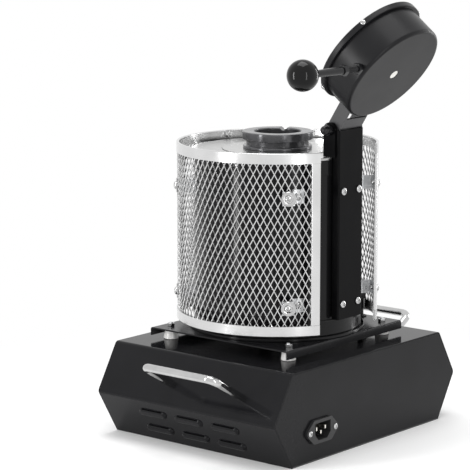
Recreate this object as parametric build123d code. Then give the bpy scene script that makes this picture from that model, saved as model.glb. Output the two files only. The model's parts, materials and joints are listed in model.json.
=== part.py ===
from build123d import *
import math
import os

# Electric melting furnace for small crucibles, with its lid swung open.
# All sizes in millimetres. The furnace stands on its floor plate at Z = 0, +Z up.
# -Y is the front with the controls, +Y the back with the mains inlet and the lid post.

# ---- base housing: a six-sided prism that runs along Y ----
TOP_HALF = 123.5
RIDGE_HALF = 151.5
BASE_H = 94.0
RIDGE_Z = 46.5
BASE_L = 230.0
COVER_T = 1.5
BEND_R = 5.0
PANEL_T = 1.5
PANEL_LIP = 9.0
FLOOR_LIP = 12.0
SEAM = 0.1

# ---- louvres in the lower flanks ----
LOUVRE_L = 36.0
LOUVRE_W = 9.0
LOUVRE_RISE = 2.6
LOUVRE_SHEET = 0.9
LOUVRE_TAPER = 28.0
LOUVRE_SLIT = 1.1
LOUVRE_PITCH = 47.0
LOUVRE_COLUMNS = 3
LOUVRE_ROWS = (16.5, 38.0)

# ---- carry handles on the upper flanks ----
HANDLE_LENGTH = 90.0
HANDLE_REACH = 52.0
HANDLE_R = 4.0
HANDLE_BEND = 9.0
HANDLE_SLOPE = 22.0
HANDLE_RIGHT_Y = 23.0
HANDLE_LEFT_Y = -12.0
HANDLE_BOLT_R = 2.5
HANDLE_BOLT_DEPTH = 14.0
HANDLE_BOLT_HEAD_R = 5.0
HANDLE_BOLT_HEAD_H = 3.0

# ---- mains inlet in the rear panel ----
INLET_X = 78.5
INLET_Z = 30.0
INLET_PITCH = 40.0
INLET_FLANGE_H = 24.0
INLET_FLANGE_T = 3.0
INLET_BODY_W = 27.5
INLET_BODY_H = 20.4
INLET_BODY_D = 24.0
INLET_CHAMFER = 5.5
INLET_CAVITY_W = 24.6
INLET_CAVITY_H = 17.4
INLET_CAVITY_D = 16.0
INLET_PIN_X = 7.0
INLET_PIN_Z = 2.0
INLET_PIN_W = 2.0
INLET_PIN_H = 4.0
INLET_PIN_L = 14.0
INLET_TAG_L = 9.0
INLET_SCREW_R = 1.5
INLET_SCREW_L = 8.0

# ---- temperature controller in the front panel ----
CONTROL_X = -38.0
CONTROL_Z = 52.0
CONTROL_BEZEL = 48.0
CONTROL_BEZEL_T = 5.0
CONTROL_BODY = 44.6
CONTROL_BODY_D = 70.0
CONTROL_WALL = 2.0
WINDOW_W = 39.0
WINDOW_H = 23.0
WINDOW_T = 1.2
WINDOW_LIFT = 7.0
KEY_W = 7.0
KEY_H = 5.0
KEY_PITCH = 10.0
KEY_DROP = 15.5
KEY_PROUD = 1.0
KEY_TRAVEL = 0.8
KEY_GAP = 0.15
KEY_DEPTH = 4.0
KEY_REST_GAP = 0.1

# ---- power switch in the front panel ----
SWITCH_X = 42.0
SWITCH_Z = 52.0
SWITCH_W = 21.0
SWITCH_H = 31.0
SWITCH_FLANGE_T = 2.0
SWITCH_BODY_W = 18.0
SWITCH_BODY_H = 27.0
SWITCH_BODY_D = 22.0
SWITCH_WALL = 1.6
ROCKER_GAP = 0.35
ROCKER_T = 6.0
ROCKER_R = 34.0
ROCKER_TILT = 7.0
ROCKER_PIN_R = 1.5
ROCKER_PIN_GAP = 0.06

# ---- parts inside the base ----
SINK_W = 90.0
SINK_L = 60.0
SINK_H = 26.0
SINK_FINS = 8
SINK_FIN_T = 2.0
SINK_PLATE = 5.0
SINK_X = 20.0
SINK_Y = 20.0
RELAY_W = 45.0
RELAY_L = 58.0
RELAY_H = 23.0

# ---- stand-offs and tray ----
FURNACE_Y = -3.0
STANDOFF_X = 78.0
STANDOFF_Y = 77.0
STANDOFF_H = 11.5
STANDOFF_BASE_R = 7.6
STANDOFF_TOP_R = 6.2
STUD_R = 2.0
HOLE_GAP = 0.15
TRAY_HALF_X = 95.5
TRAY_HALF_Y = 89.5
TRAY_T = 1.5
TRAY_LIP = 8.5
NUT_AF = 7.0
NUT_H = 3.0

# ---- furnace body, heights from the tray's top ----
PAN_R = 90.0
PAN_T = 3.0
SHELL_R = 85.5
SHELL_T = 1.2
BAND_R = 86.6
SKIRT_H = 16.0
CAP_H = 15.5
BODY_H = 182.8
PLATE_R = 87.6
PLATE_T = 2.5
PLATE_BORE_R = 40.0
MOUTH_R = 56.5
MOUTH_T = 0.8
MOUTH_BORE_R = 31.0
CAP_SCREWS = 10
CAP_SCREW_START = 9.0
POST_AZ = 90.0
CAP_SCREW_R = 2.6
BODY_GAP = 0.1

# ---- heating chamber ----
MUFFLE_BORE_R = 31.5
MUFFLE_T = 6.0
HEATER_T = 2.0
WOOL_IN_R = 42.0
WOOL_OUT_R = 80.0
CRUCIBLE_AIR = 3.9
PROBE_R = 1.5

# ---- crucible ----
CRUCIBLE_LENGTH = 170.0
CRUCIBLE_R = 28.5
CRUCIBLE_BORE_R = 23.8
CRUCIBLE_FLOOR = 10.0
CRUCIBLE_FLANGE_R = 36.0
CRUCIBLE_SEAT_R = 35.2
CRUCIBLE_GROOVE_R = 32.0
CRUCIBLE_TOP_H = 8.1
CRUCIBLE_GROOVE_H = 6.2
CRUCIBLE_SEAT_H = 3.0
NOTCH_AZ = 205.0
NOTCH_W = 9.0
NOTCH_D = 3.0

# ---- guard of expanded metal, open at the back ----
GUARD_LIFT = 8.0
GUARD_H = 182.8
GUARD_R = 103.2
GUARD_SLOT = 27.0
EDGE_H = 10.5
EDGE_ARC = 5.3
EDGE_T = 0.8
MESH_T = 1.2
MESH_COLUMNS = 24
MESH_ROWS = 6
STRAND_W = 3.2
FIXING_AZ = (45.0, 135.0, 225.0, 315.0)
FIXING_Z = (36.5, BODY_H - 36.8)
BRACKET_H = 14.0
BRACKET_T = 1.5
BRACKET_FOOT = 7.0
BRACKET_HEEL = 8.0
WASHER_R = 7.5
WASHER_T = 1.2
SCREW_R = 2.0
HEAD_R = 3.9
HEAD_H = 2.6

# ---- terminal box between shell and guard ----
TERMINAL_AZ = (150.0, 180.0)
TERMINAL_H = 20.0
TERMINAL_DEPTH = 14.0
LEAD_AZ = 153.0
LEAD_R = 3.0
LEAD_OUT = 96.4
GROMMET_R = 5.0
GROMMET_LIP = 1.2

# ---- lid post and hinge ----
POST_OUT = 93.8
POST_HALF = 20.0
POST_T = 2.0
POST_FLANGE_IN = 86.1
POST_SCREW_X = 12.5
POST_SCREW_Z = (34.5, BODY_H - 34.1)
BUSH_R = 4.0
HINGE_BACK = 82.8
HINGE_RISE = 27.5
EAR_R = 7.2
EAR_T = 2.0
EAR_FOOT_GAP = 0.3
HINGE_PIN_R = 3.0
HINGE_PIN_GAP = 0.06
HINGE_NUT_AF = 10.0
HINGE_NUT_H = 5.0
HINGE_CAP_R = 4.6
HINGE_CAP_H = 6.5

# ---- lid, drawn shut and then swung open ----
LID_OPEN = 128.5
LID_GAP = 0.3
LID_H = 39.6
LID_R = 56.0
LID_T = 1.2
LID_EDGE_R = 3.5
RIM_R = 59.7
RIM_H = 6.0
RECESS_R = 46.0
RECESS_GAP = 2.4
VENT_R = 5.0
VENT_GAP = 0.2
VENT_DEPTH = 12.0
RIM_SCREW_AZ = -40.6
RIM_SCREWS = 4
RIM_SCREW_R = 1.5
RIM_SCREW_HEAD_R = 2.6
RIM_SCREW_HEAD_H = 1.6

# ---- lid arm and its saddle ----
ARM_DIP = 5.9
ARM_HALF = 17.7
ARM_T = 2.0
ARM_NOSE_R = 7.0
ARM_DROP = 7.0
ARM_RISE = 8.2
ARM_WEB = (4.9, 17.8)
ARM_REACH = 36.0
SADDLE_HALF = 18.5
SADDLE_T = 1.6
SADDLE_TOP_GAP = 5.0
STOP_GAP = 0.3

# ---- ball handle on the lid ----
GRIP_DROP = 7.0
GRIP_FORWARD = 7.5
GRIP_STUD_R = 3.0
GRIP_NUT_AF = 10.0
GRIP_NUT_H = 5.0
GRIP_COLLAR_X = 78.0
GRIP_COLLAR_H = 6.0
GRIP_ROD_R = (4.2, 3.1)
GRIP_BALL_R = 15.0
GRIP_BALL_X = 143.0
GRIP_SINK = 9.0

# ---- places worked out from the sizes above ----
AXIS = Pos(0, FURNACE_Y, 0)
TRAY_UNDER = BASE_H + STANDOFF_H
TRAY_TOP = TRAY_UNDER + TRAY_T
SHELL_Z0 = TRAY_TOP + PAN_T
PLATE_TOP = TRAY_TOP + BODY_H
PLATE_UNDER = PLATE_TOP - PLATE_T
SEAT_Z = PLATE_TOP + MOUTH_T
CRUCIBLE_TOP = SEAT_Z + CRUCIBLE_SEAT_H + CRUCIBLE_GROOVE_H + CRUCIBLE_TOP_H
CRUCIBLE_BOTTOM = CRUCIBLE_TOP - CRUCIBLE_LENGTH
GUARD_Z0 = TRAY_TOP + GUARD_LIFT
GUARD_Z1 = GUARD_Z0 + GUARD_H
GUARD_AZ0 = POST_AZ + GUARD_SLOT
GUARD_AZ1 = POST_AZ + 360 - GUARD_SLOT
MESH_OPEN_AZ = GUARD_AZ0 + EDGE_ARC * 0.6
MESH_PITCH = (GUARD_AZ1 - EDGE_ARC * 0.6 - MESH_OPEN_AZ) / MESH_COLUMNS
MESH_OUT_R = GUARD_R - EDGE_T
MESH_IN_R = MESH_OUT_R * math.cos(math.radians(MESH_PITCH / 4)) - MESH_T
HINGE_Y = FURNACE_Y + HINGE_BACK
HINGE_Z = PLATE_TOP + HINGE_RISE
LID_Z0 = SEAT_Z + LID_GAP
LID_Z1 = LID_Z0 + LID_H
WEB_OUT_Y = FURNACE_Y + POST_OUT
REAR_Y = BASE_L / 2
FRONT_Y = -BASE_L / 2
FLANK_RUN = RIDGE_HALF - TOP_HALF
LOWER_LEN = math.hypot(FLANK_RUN, RIDGE_Z)
UPPER_LEN = math.hypot(FLANK_RUN, BASE_H - RIDGE_Z)


def slab_y(sketch, y0, y1):
    """A sketch drawn in X and Z, as a slab from y0 to y1."""
    plane = Plane(origin=(0, y1, 0), x_dir=(1, 0, 0), z_dir=(0, -1, 0))
    return extrude(plane * sketch, amount=y1 - y0)


def slab_x(sketch, x0, x1):
    """A sketch drawn in Y and Z, as a slab from x0 to x1."""
    plane = Plane(origin=(x0, 0, 0), x_dir=(0, 1, 0), z_dir=(1, 0, 0))
    return extrude(plane * sketch, amount=x1 - x0)


def block(x0, x1, y0, y1, z0, z1):
    size = Box(x1 - x0, y1 - y0, z1 - z0)
    return Pos((x0 + x1) / 2, (y0 + y1) / 2, (z0 + z1) / 2) * size


def tube(r_out, r_in, z0, z1):
    """An upright tube on the furnace's axis."""
    wall = Circle(r_out) - Circle(r_in)
    return AXIS * Pos(0, 0, z0) * extrude(wall, amount=z1 - z0)


def disc(r, z0, z1):
    return AXIS * Pos(0, 0, z0) * extrude(Circle(r), amount=z1 - z0)


def sector_face(r_out, r_in, az0, az1):
    """A flat piece of a ring between two azimuths, counted from +X."""
    span = az1 - az0
    start = Vector(r_out, 0, 0).rotate(Axis.Z, az0)
    turn = Vector(r_in, 0, 0).rotate(Axis.Z, az1)
    outer = CenterArc((0, 0), r_out, az0, span)
    inner = CenterArc((0, 0), r_in, az1, -span)
    side_a = Line(outer @ 1, turn)
    side_b = Line(inner @ 1, start)
    return make_face(Wire([outer.edge(), side_a.edge(), inner.edge(), side_b.edge()]))


def sector(r_out, r_in, az0, az1, z0, z1):
    face = sector_face(r_out, r_in, az0, az1)
    return AXIS * Pos(0, 0, z0) * extrude(face, amount=z1 - z0)


def radial(azimuth, radius, z):
    """A place on a circle round the furnace's axis whose local +Z points outwards."""
    a = math.radians(azimuth)
    out = Vector(math.cos(a), math.sin(a), 0)
    origin = Vector(0, FURNACE_Y, z) + out * radius
    return Plane(origin=origin, x_dir=(0, 0, 1), z_dir=out)


def rod(plane, r, length):
    return extrude(plane * Circle(r), amount=length)


def hex_prism(plane, across_flats, height):
    return extrude(plane * RegularPolygon(across_flats / 2, 6, major_radius=False), amount=height)


def button(plane, r, h):
    """A low round head with its outer edge bevelled."""
    body = extrude(plane * Circle(r), amount=h)
    rings = body.edges().filter_by(GeomType.CIRCLE)
    far = [e for e in rings if plane.to_local_coords(e.center()).Z > h / 2]
    return chamfer(far, h * 0.45)


def pan_screw(plane, head_r, head_h, shank_r, shank_l):
    """A domed screw whose head sits on the plane, with its shank below."""
    shank = extrude(plane * Circle(shank_r), amount=-shank_l)
    return button(plane, head_r, head_h) + shank


def frame_z(x, y, z, up=1):
    return Plane(origin=(x, y, z), x_dir=(1, 0, 0), z_dir=(0, 0, up))


def frame_y(x, y, z, out=1):
    return Plane(origin=(x, y, z), x_dir=(1, 0, 0), z_dir=(0, out, 0))


def frame_x(x, y, z, out=1):
    return Plane(origin=(x, y, z), x_dir=(0, 1, 0), z_dir=(out, 0, 0))


# ---- base housing ----
def lower_flank_x(z, inset):
    """Half width of the lower flank at height z, moved in by inset square to the flank."""
    return TOP_HALF + FLANK_RUN * z / RIDGE_Z - inset * LOWER_LEN / RIDGE_Z


def housing_outline(bottom_z):
    """The end view of the housing down to bottom_z, with its upper bends rounded."""
    foot = lower_flank_x(bottom_z, 0)
    corners = [
        (foot, bottom_z),
        (RIDGE_HALF, RIDGE_Z),
        (TOP_HALF, BASE_H),
        (-TOP_HALF, BASE_H),
        (-RIDGE_HALF, RIDGE_Z),
        (-foot, bottom_z),
    ]
    face = make_face(Polyline(*corners, close=True))
    bends = [v for v in face.vertices() if v.Y > RIDGE_Z / 2]
    return fillet(bends, BEND_R)


def inner_outline(inset, floor_z):
    """The housing's end view moved in by inset and cut off flat at floor_z."""
    deep = offset(housing_outline(-BASE_H / 4), amount=-inset)
    width = 4 * RIDGE_HALF
    return deep - Pos(0, floor_z - BASE_H) * Rectangle(width, 2 * BASE_H)


def flank_place(upper, y, slope, sink=0.0):
    """A place on the right flank, slope away from the ridge; local X runs along Y."""
    rise = BASE_H - RIDGE_Z if upper else -RIDGE_Z
    length = UPPER_LEN if upper else LOWER_LEN
    along = Vector(-FLANK_RUN / length, 0, rise / length)
    out = Vector(abs(rise) / length, 0, FLANK_RUN / length * (1 if upper else -1))
    origin = Vector(RIDGE_HALF, y, RIDGE_Z) + along * slope - out * sink
    return Plane(origin=origin, x_dir=(0, 1, 0), z_dir=out)


def louvre_places():
    first = -LOUVRE_PITCH * (LOUVRE_COLUMNS - 1) / 2
    spots = []
    for slope in LOUVRE_ROWS:
        for column in range(LOUVRE_COLUMNS):
            spots.append(flank_place(False, first + column * LOUVRE_PITCH, slope))
    return spots


def louvre_hood(place):
    """A pressed hood, hollow behind and slit along its upper edge."""
    shape = SlotOverall(LOUVRE_L, LOUVRE_W)
    cavity = SlotOverall(LOUVRE_L - 2 * LOUVRE_SHEET, LOUVRE_W - 2 * LOUVRE_SHEET)
    skin = extrude(place * shape, amount=LOUVRE_RISE, taper=LOUVRE_TAPER)
    hollow = extrude(place * cavity, amount=LOUVRE_RISE - LOUVRE_SHEET, taper=LOUVRE_TAPER)
    slit_l = LOUVRE_L - LOUVRE_W - 2
    slit = place * Pos(0, LOUVRE_W / 2, LOUVRE_SLIT / 2) * Box(slit_l, LOUVRE_W / 2, LOUVRE_SLIT)
    return skin - hollow - slit


def louvre_cut(place):
    cavity = SlotOverall(LOUVRE_L - 2 * LOUVRE_SHEET, LOUVRE_W - 2 * LOUVRE_SHEET)
    return extrude(place * cavity, amount=-2 * COVER_T)


def handle_feet(y):
    return [flank_place(True, y + side * HANDLE_LENGTH / 2, HANDLE_SLOPE) for side in (-1, 1)]


def both_sides(pieces):
    """The pieces with their mirror images on the left."""
    return list(pieces) + [mirror(p, about=Plane.YZ) for p in pieces]


def standoff_spots():
    return [
        (sx * STANDOFF_X, FURNACE_Y + sy * STANDOFF_Y)
        for sx in (-1, 1)
        for sy in (-1, 1)
    ]


def lead_spot():
    a = math.radians(LEAD_AZ)
    return LEAD_OUT * math.cos(a), FURNACE_Y + LEAD_OUT * math.sin(a)


def base_cover():
    shell = slab_y(housing_outline(0), FRONT_Y, REAR_Y)
    shell -= slab_y(inner_outline(COVER_T, -BASE_H / 8), FRONT_Y - 1, REAR_Y + 1)
    holes = both_sides([louvre_cut(p) for p in louvre_places()])
    for y, side in ((HANDLE_RIGHT_Y, 1), (HANDLE_LEFT_Y, -1)):
        for place in handle_feet(y):
            hole = extrude(place * Circle(HANDLE_BOLT_R + HOLE_GAP), amount=-3 * COVER_T)
            holes.append(hole if side > 0 else mirror(hole, about=Plane.YZ))
    for x, y in standoff_spots():
        holes.append(rod(frame_z(x, y, BASE_H - 2 * COVER_T), STUD_R + HOLE_GAP, 3 * COVER_T))
    holes.append(rod(frame_z(*lead_spot(), BASE_H - 2 * COVER_T), GROMMET_R, 3 * COVER_T))
    shell -= holes
    shell += both_sides([louvre_hood(p) for p in louvre_places()])
    return shell


def floor_plate():
    inset = COVER_T + SEAM
    sheet = make_face(
        Polyline(
            (-lower_flank_x(0, inset), 0),
            (lower_flank_x(0, inset), 0),
            (lower_flank_x(FLOOR_LIP, inset), FLOOR_LIP),
            (-lower_flank_x(FLOOR_LIP, inset), FLOOR_LIP),
            close=True,
        )
    )
    inset += PANEL_T
    inside = make_face(
        Polyline(
            (-lower_flank_x(PANEL_T, inset), PANEL_T),
            (lower_flank_x(PANEL_T, inset), PANEL_T),
            (lower_flank_x(2 * FLOOR_LIP, inset), 2 * FLOOR_LIP),
            (-lower_flank_x(2 * FLOOR_LIP, inset), 2 * FLOOR_LIP),
            close=True,
        )
    )
    plate = slab_y(sheet - inside, FRONT_Y, REAR_Y)
    clear = PANEL_T + PANEL_LIP + 5 * SEAM
    for y0, y1 in ((FRONT_Y, FRONT_Y + clear), (REAR_Y - clear, REAR_Y)):
        plate -= block(-RIDGE_HALF, RIDGE_HALF, y0, y1, PANEL_T, 2 * FLOOR_LIP)
    return plate


def end_panel(out):
    """A sheet end with a lip folded inwards; out is +1 at the back, -1 at the front."""
    face_y = REAR_Y if out > 0 else FRONT_Y
    outline = inner_outline(COVER_T + SEAM, PANEL_T + SEAM)
    lip = outline - offset(outline, amount=-PANEL_T)
    y_in = face_y - out * PANEL_T
    y_lip = face_y - out * PANEL_LIP
    sheet = slab_y(outline, min(face_y, y_in), max(face_y, y_in))
    edge = slab_y(lip, min(y_in, y_lip), max(y_in, y_lip))
    return sheet + edge


def eared_flange():
    """The inlet's flange: a block with a rounded ear round each screw."""
    body = RectangleRounded(INLET_BODY_W + 4, INLET_FLANGE_H, 3)
    ear = Pos(INLET_PITCH / 2, 0) * Circle(4.6)
    bridge = make_hull((body + ear + Pos(-INLET_PITCH / 2, 0) * Circle(4.6)).edges())
    return bridge


def inlet_shape(width, height):
    """A rectangle whose two lower corners are cut off, as the plug's outline is."""
    w, h, c = width / 2, height / 2, INLET_CHAMFER
    points = [(-w, h), (-w, c - h), (c - w, -h), (w - c, -h), (w, c - h), (w, h)]
    return make_face(Polyline(*points, close=True))


def inlet_socket():
    centre = Pos(INLET_X, INLET_Z)
    flange = slab_y(centre * eared_flange(), REAR_Y, REAR_Y + INLET_FLANGE_T)
    body = slab_y(centre * inlet_shape(INLET_BODY_W, INLET_BODY_H), REAR_Y - INLET_BODY_D, REAR_Y)
    mouth_y = REAR_Y + INLET_FLANGE_T
    cavity = centre * inlet_shape(INLET_CAVITY_W, INLET_CAVITY_H)
    socket = flange + body - slab_y(cavity, mouth_y - INLET_CAVITY_D, mouth_y + 1)
    for side in (-1, 1):
        spot = frame_y(INLET_X + side * INLET_PITCH / 2, mouth_y, INLET_Z, -1)
        socket -= rod(spot, INLET_SCREW_R + HOLE_GAP, 2 * INLET_FLANGE_T)
    slots = [
        block(
            x - INLET_PIN_W / 2 - HOLE_GAP,
            x + INLET_PIN_W / 2 + HOLE_GAP,
            REAR_Y - INLET_BODY_D - 1,
            mouth_y,
            z - INLET_PIN_H / 2 - HOLE_GAP,
            z + INLET_PIN_H / 2 + HOLE_GAP,
        )
        for x, z in inlet_pin_spots()
    ]
    return socket - slots


def inlet_pin_spots():
    return [
        (INLET_X - INLET_PIN_X, INLET_Z + INLET_PIN_Z),
        (INLET_X + INLET_PIN_X, INLET_Z + INLET_PIN_Z),
        (INLET_X, INLET_Z - INLET_PIN_Z),
    ]


def inlet_blades():
    """Three contact blades that run through the socket's back into solder tags."""
    cavity_back = REAR_Y + INLET_FLANGE_T - INLET_CAVITY_D
    tip_y = cavity_back + INLET_PIN_L
    tag_y = REAR_Y - INLET_BODY_D - INLET_TAG_L
    blades = []
    for x, z in inlet_pin_spots():
        blade = block(
            x - INLET_PIN_W / 2,
            x + INLET_PIN_W / 2,
            tag_y,
            tip_y,
            z - INLET_PIN_H / 2,
            z + INLET_PIN_H / 2,
        )
        blades.append(chamfer(blade.edges().group_by(Axis.Y)[-1], INLET_PIN_W / 4))
    return blades


def inlet_screws():
    y = REAR_Y + INLET_FLANGE_T
    spots = [frame_y(INLET_X + s * INLET_PITCH / 2, y, INLET_Z) for s in (-1, 1)]
    r = INLET_SCREW_R
    return [pan_screw(p, 2 * r, r, r, INLET_SCREW_L) for p in spots]


def rear_panel():
    panel = end_panel(1)
    play = 2 * HOLE_GAP
    hole = Pos(INLET_X, INLET_Z) * inlet_shape(INLET_BODY_W + play, INLET_BODY_H + play)
    panel -= slab_y(hole, REAR_Y - 2 * PANEL_T, REAR_Y + 1)
    for side in (-1, 1):
        spot = frame_y(INLET_X + side * INLET_PITCH / 2, REAR_Y + 1, INLET_Z, -1)
        panel -= rod(spot, INLET_SCREW_R + HOLE_GAP, 3 * PANEL_T)
    return panel


def front_panel():
    panel = end_panel(-1)
    play = 2 * HOLE_GAP
    window = Pos(CONTROL_X, CONTROL_Z) * Rectangle(CONTROL_BODY + play, CONTROL_BODY + play)
    opening = Pos(SWITCH_X, SWITCH_Z) * Rectangle(SWITCH_BODY_W + play, SWITCH_BODY_H + play)
    return panel - slab_y(window + opening, FRONT_Y - 1, FRONT_Y + 2 * PANEL_T)


# ---- temperature controller ----
CONTROL_FACE = FRONT_Y - CONTROL_BEZEL_T
WINDOW_Z = CONTROL_Z + WINDOW_LIFT
KEY_Z = CONTROL_Z - KEY_DROP


def key_spots():
    return [CONTROL_X + (i - 1.5) * KEY_PITCH for i in range(4)]


def controller_case():
    square = Pos(CONTROL_X, CONTROL_Z) * RectangleRounded(CONTROL_BEZEL, CONTROL_BEZEL, 2)
    bezel = slab_y(square, CONTROL_FACE, FRONT_Y)
    bezel = chamfer(bezel.edges().group_by(Axis.Y)[0], 1.0)
    body = Pos(CONTROL_X, CONTROL_Z) * Rectangle(CONTROL_BODY, CONTROL_BODY)
    case = bezel + slab_y(body, FRONT_Y, FRONT_Y + CONTROL_BODY_D)
    inner = CONTROL_BODY - 2 * CONTROL_WALL
    room = Pos(CONTROL_X, CONTROL_Z) * Rectangle(inner, inner)
    room_y = CONTROL_FACE + KEY_DEPTH + KEY_TRAVEL + CONTROL_WALL
    case -= slab_y(room, room_y, FRONT_Y + CONTROL_BODY_D - CONTROL_WALL)
    glass = Pos(CONTROL_X, WINDOW_Z) * Rectangle(WINDOW_W + 2 * SEAM, WINDOW_H + 2 * SEAM)
    case -= slab_y(glass, CONTROL_FACE - 1, CONTROL_FACE + WINDOW_T)
    pocket_y = CONTROL_FACE + KEY_DEPTH + KEY_TRAVEL
    for x in key_spots():
        pocket = Pos(x, KEY_Z) * Rectangle(KEY_W + 2 * KEY_GAP, KEY_H + 2 * KEY_GAP)
        case -= slab_y(pocket, CONTROL_FACE - 1, pocket_y)
    return case


def controller_window():
    glass = Pos(CONTROL_X, WINDOW_Z) * Rectangle(WINDOW_W, WINDOW_H)
    return slab_y(glass, CONTROL_FACE, CONTROL_FACE + WINDOW_T)


def controller_key(x):
    """One key; its back stops a hair short of the pocket's end when pressed home."""
    outline = Pos(x, KEY_Z) * RectangleRounded(KEY_W, KEY_H, 1.2)
    key = slab_y(outline, CONTROL_FACE - KEY_PROUD, CONTROL_FACE + KEY_DEPTH - KEY_REST_GAP)
    return chamfer(key.edges().group_by(Axis.Y)[0], 0.4)


# ---- power switch ----
SWITCH_FACE = FRONT_Y - SWITCH_FLANGE_T
ROCKER_W = SWITCH_BODY_W - 2 * SWITCH_WALL - 2 * ROCKER_GAP
ROCKER_H = SWITCH_BODY_H - 2 * SWITCH_WALL - 2 * ROCKER_GAP - 1.0
ROCKER_PIVOT_Y = SWITCH_FACE + ROCKER_T


def switch_housing():
    flange = Pos(SWITCH_X, SWITCH_Z) * RectangleRounded(SWITCH_W, SWITCH_H, 1.5)
    body = Pos(SWITCH_X, SWITCH_Z) * Rectangle(SWITCH_BODY_W, SWITCH_BODY_H)
    housing = slab_y(flange, SWITCH_FACE, FRONT_Y) + slab_y(body, FRONT_Y, FRONT_Y + SWITCH_BODY_D)
    well = Rectangle(SWITCH_BODY_W - 2 * SWITCH_WALL, SWITCH_BODY_H - 2 * SWITCH_WALL)
    housing -= slab_y(Pos(SWITCH_X, SWITCH_Z) * well, SWITCH_FACE - 1, FRONT_Y + SWITCH_BODY_D - 3)
    pin = frame_x(SWITCH_X - SWITCH_BODY_W, ROCKER_PIVOT_Y, SWITCH_Z)
    return housing - rod(pin, ROCKER_PIN_R + ROCKER_PIN_GAP, 2 * SWITCH_BODY_W)


def switch_rocker():
    """A curved paddle on two moulded pins, tipped to its off side."""
    half = ROCKER_H / 2
    top = SWITCH_FACE - ROCKER_T / 3
    chord = ROCKER_R - math.sqrt(ROCKER_R**2 - half**2)
    face = ThreePointArc((top - chord, -half), (top, 0), (top - chord, half))
    back = [(top - chord, half), (ROCKER_PIVOT_Y, half * 0.55), (ROCKER_PIVOT_Y + 2.5, 0)]
    back += [(ROCKER_PIVOT_Y, -half * 0.55), (top - chord, -half)]
    outline = make_face(Wire([face.edge()] + [e for e in Polyline(*back).edges()]))
    x0 = SWITCH_X - ROCKER_W / 2
    paddle = slab_x(Pos(0, SWITCH_Z) * outline, x0, x0 + ROCKER_W)
    reach = ROCKER_W / 2 + ROCKER_GAP + SWITCH_WALL * 0.8
    pins = rod(frame_x(SWITCH_X - reach, ROCKER_PIVOT_Y, SWITCH_Z), ROCKER_PIN_R, 2 * reach)
    pivot = Axis((SWITCH_X, ROCKER_PIVOT_Y, SWITCH_Z), (1, 0, 0))
    return (paddle + pins).rotate(pivot, ROCKER_TILT)


# ---- handles ----
def carry_handle(y):
    """A bow of round bar whose legs stand square on the upper flank."""
    place = flank_place(True, y, HANDLE_SLOPE)
    half = HANDLE_LENGTH / 2
    path = FilletPolyline(
        (-half, 0, 0),
        (-half, 0, HANDLE_REACH),
        (half, 0, HANDLE_REACH),
        (half, 0, 0),
        radius=HANDLE_BEND,
    )
    section = Pos(-half, 0, 0) * Circle(HANDLE_R)
    bow = sweep(section, path=path)
    for side in (-1, 1):
        drill = extrude(Circle(HANDLE_BOLT_R + HOLE_GAP), amount=HANDLE_BOLT_DEPTH + 1)
        bow -= Pos(side * half, 0, -1) * drill
    return place * bow


def handle_bolts(y):
    bolts = []
    for place in handle_feet(y):
        under = place.offset(-COVER_T)
        shank = extrude(under * Circle(HANDLE_BOLT_R), amount=COVER_T + HANDLE_BOLT_DEPTH - 1)
        head = extrude(under * RegularPolygon(HANDLE_BOLT_HEAD_R, 6), amount=-HANDLE_BOLT_HEAD_H)
        bolts.append(shank + head)
    return bolts


# ---- parts inside the base ----
SINK_TOP = PANEL_T + SINK_H


def heat_sink():
    pitch = (SINK_W - SINK_FIN_T) / (SINK_FINS - 1)
    plate = block(
        SINK_X - SINK_W / 2,
        SINK_X + SINK_W / 2,
        SINK_Y - SINK_L / 2,
        SINK_Y + SINK_L / 2,
        SINK_TOP - SINK_PLATE,
        SINK_TOP,
    )
    fins = []
    for i in range(SINK_FINS):
        x = SINK_X - SINK_W / 2 + i * pitch
        fins.append(block(x, x + SINK_FIN_T, SINK_Y - SINK_L / 2, SINK_Y + SINK_L / 2, PANEL_T, SINK_TOP))
    return plate + fins


def relay():
    body = block(
        SINK_X - RELAY_W / 2,
        SINK_X + RELAY_W / 2,
        SINK_Y - RELAY_L / 2,
        SINK_Y + RELAY_L / 2,
        SINK_TOP,
        SINK_TOP + RELAY_H,
    )
    return chamfer(body.edges().group_by(Axis.Z)[-1], 2.0)


# ---- stand-offs and tray ----
def standoffs():
    """Ceramic cones, wider at the foot."""
    cones = []
    for x, y in standoff_spots():
        cone = Cone(STANDOFF_BASE_R, STANDOFF_TOP_R, STANDOFF_H)
        post = Pos(x, y, BASE_H + STANDOFF_H / 2) * cone
        cones.append(post - rod(frame_z(x, y, BASE_H - 1), STUD_R + HOLE_GAP, STANDOFF_H + 2))
    return cones


def standoff_studs():
    low = BASE_H - COVER_T - NUT_H - 1
    high = TRAY_TOP + NUT_H + 1
    return [rod(frame_z(x, y, low), STUD_R, high - low) for x, y in standoff_spots()]


def standoff_nuts():
    """A nut on the tray and one under the housing's top for each stud."""
    nuts = []
    for x, y in standoff_spots():
        for z in (TRAY_TOP, BASE_H - COVER_T - NUT_H):
            nut = hex_prism(frame_z(x, y, z), NUT_AF, NUT_H)
            nuts.append(nut - rod(frame_z(x, y, z - 1), STUD_R + SEAM, NUT_H + 2))
    return nuts


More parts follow.
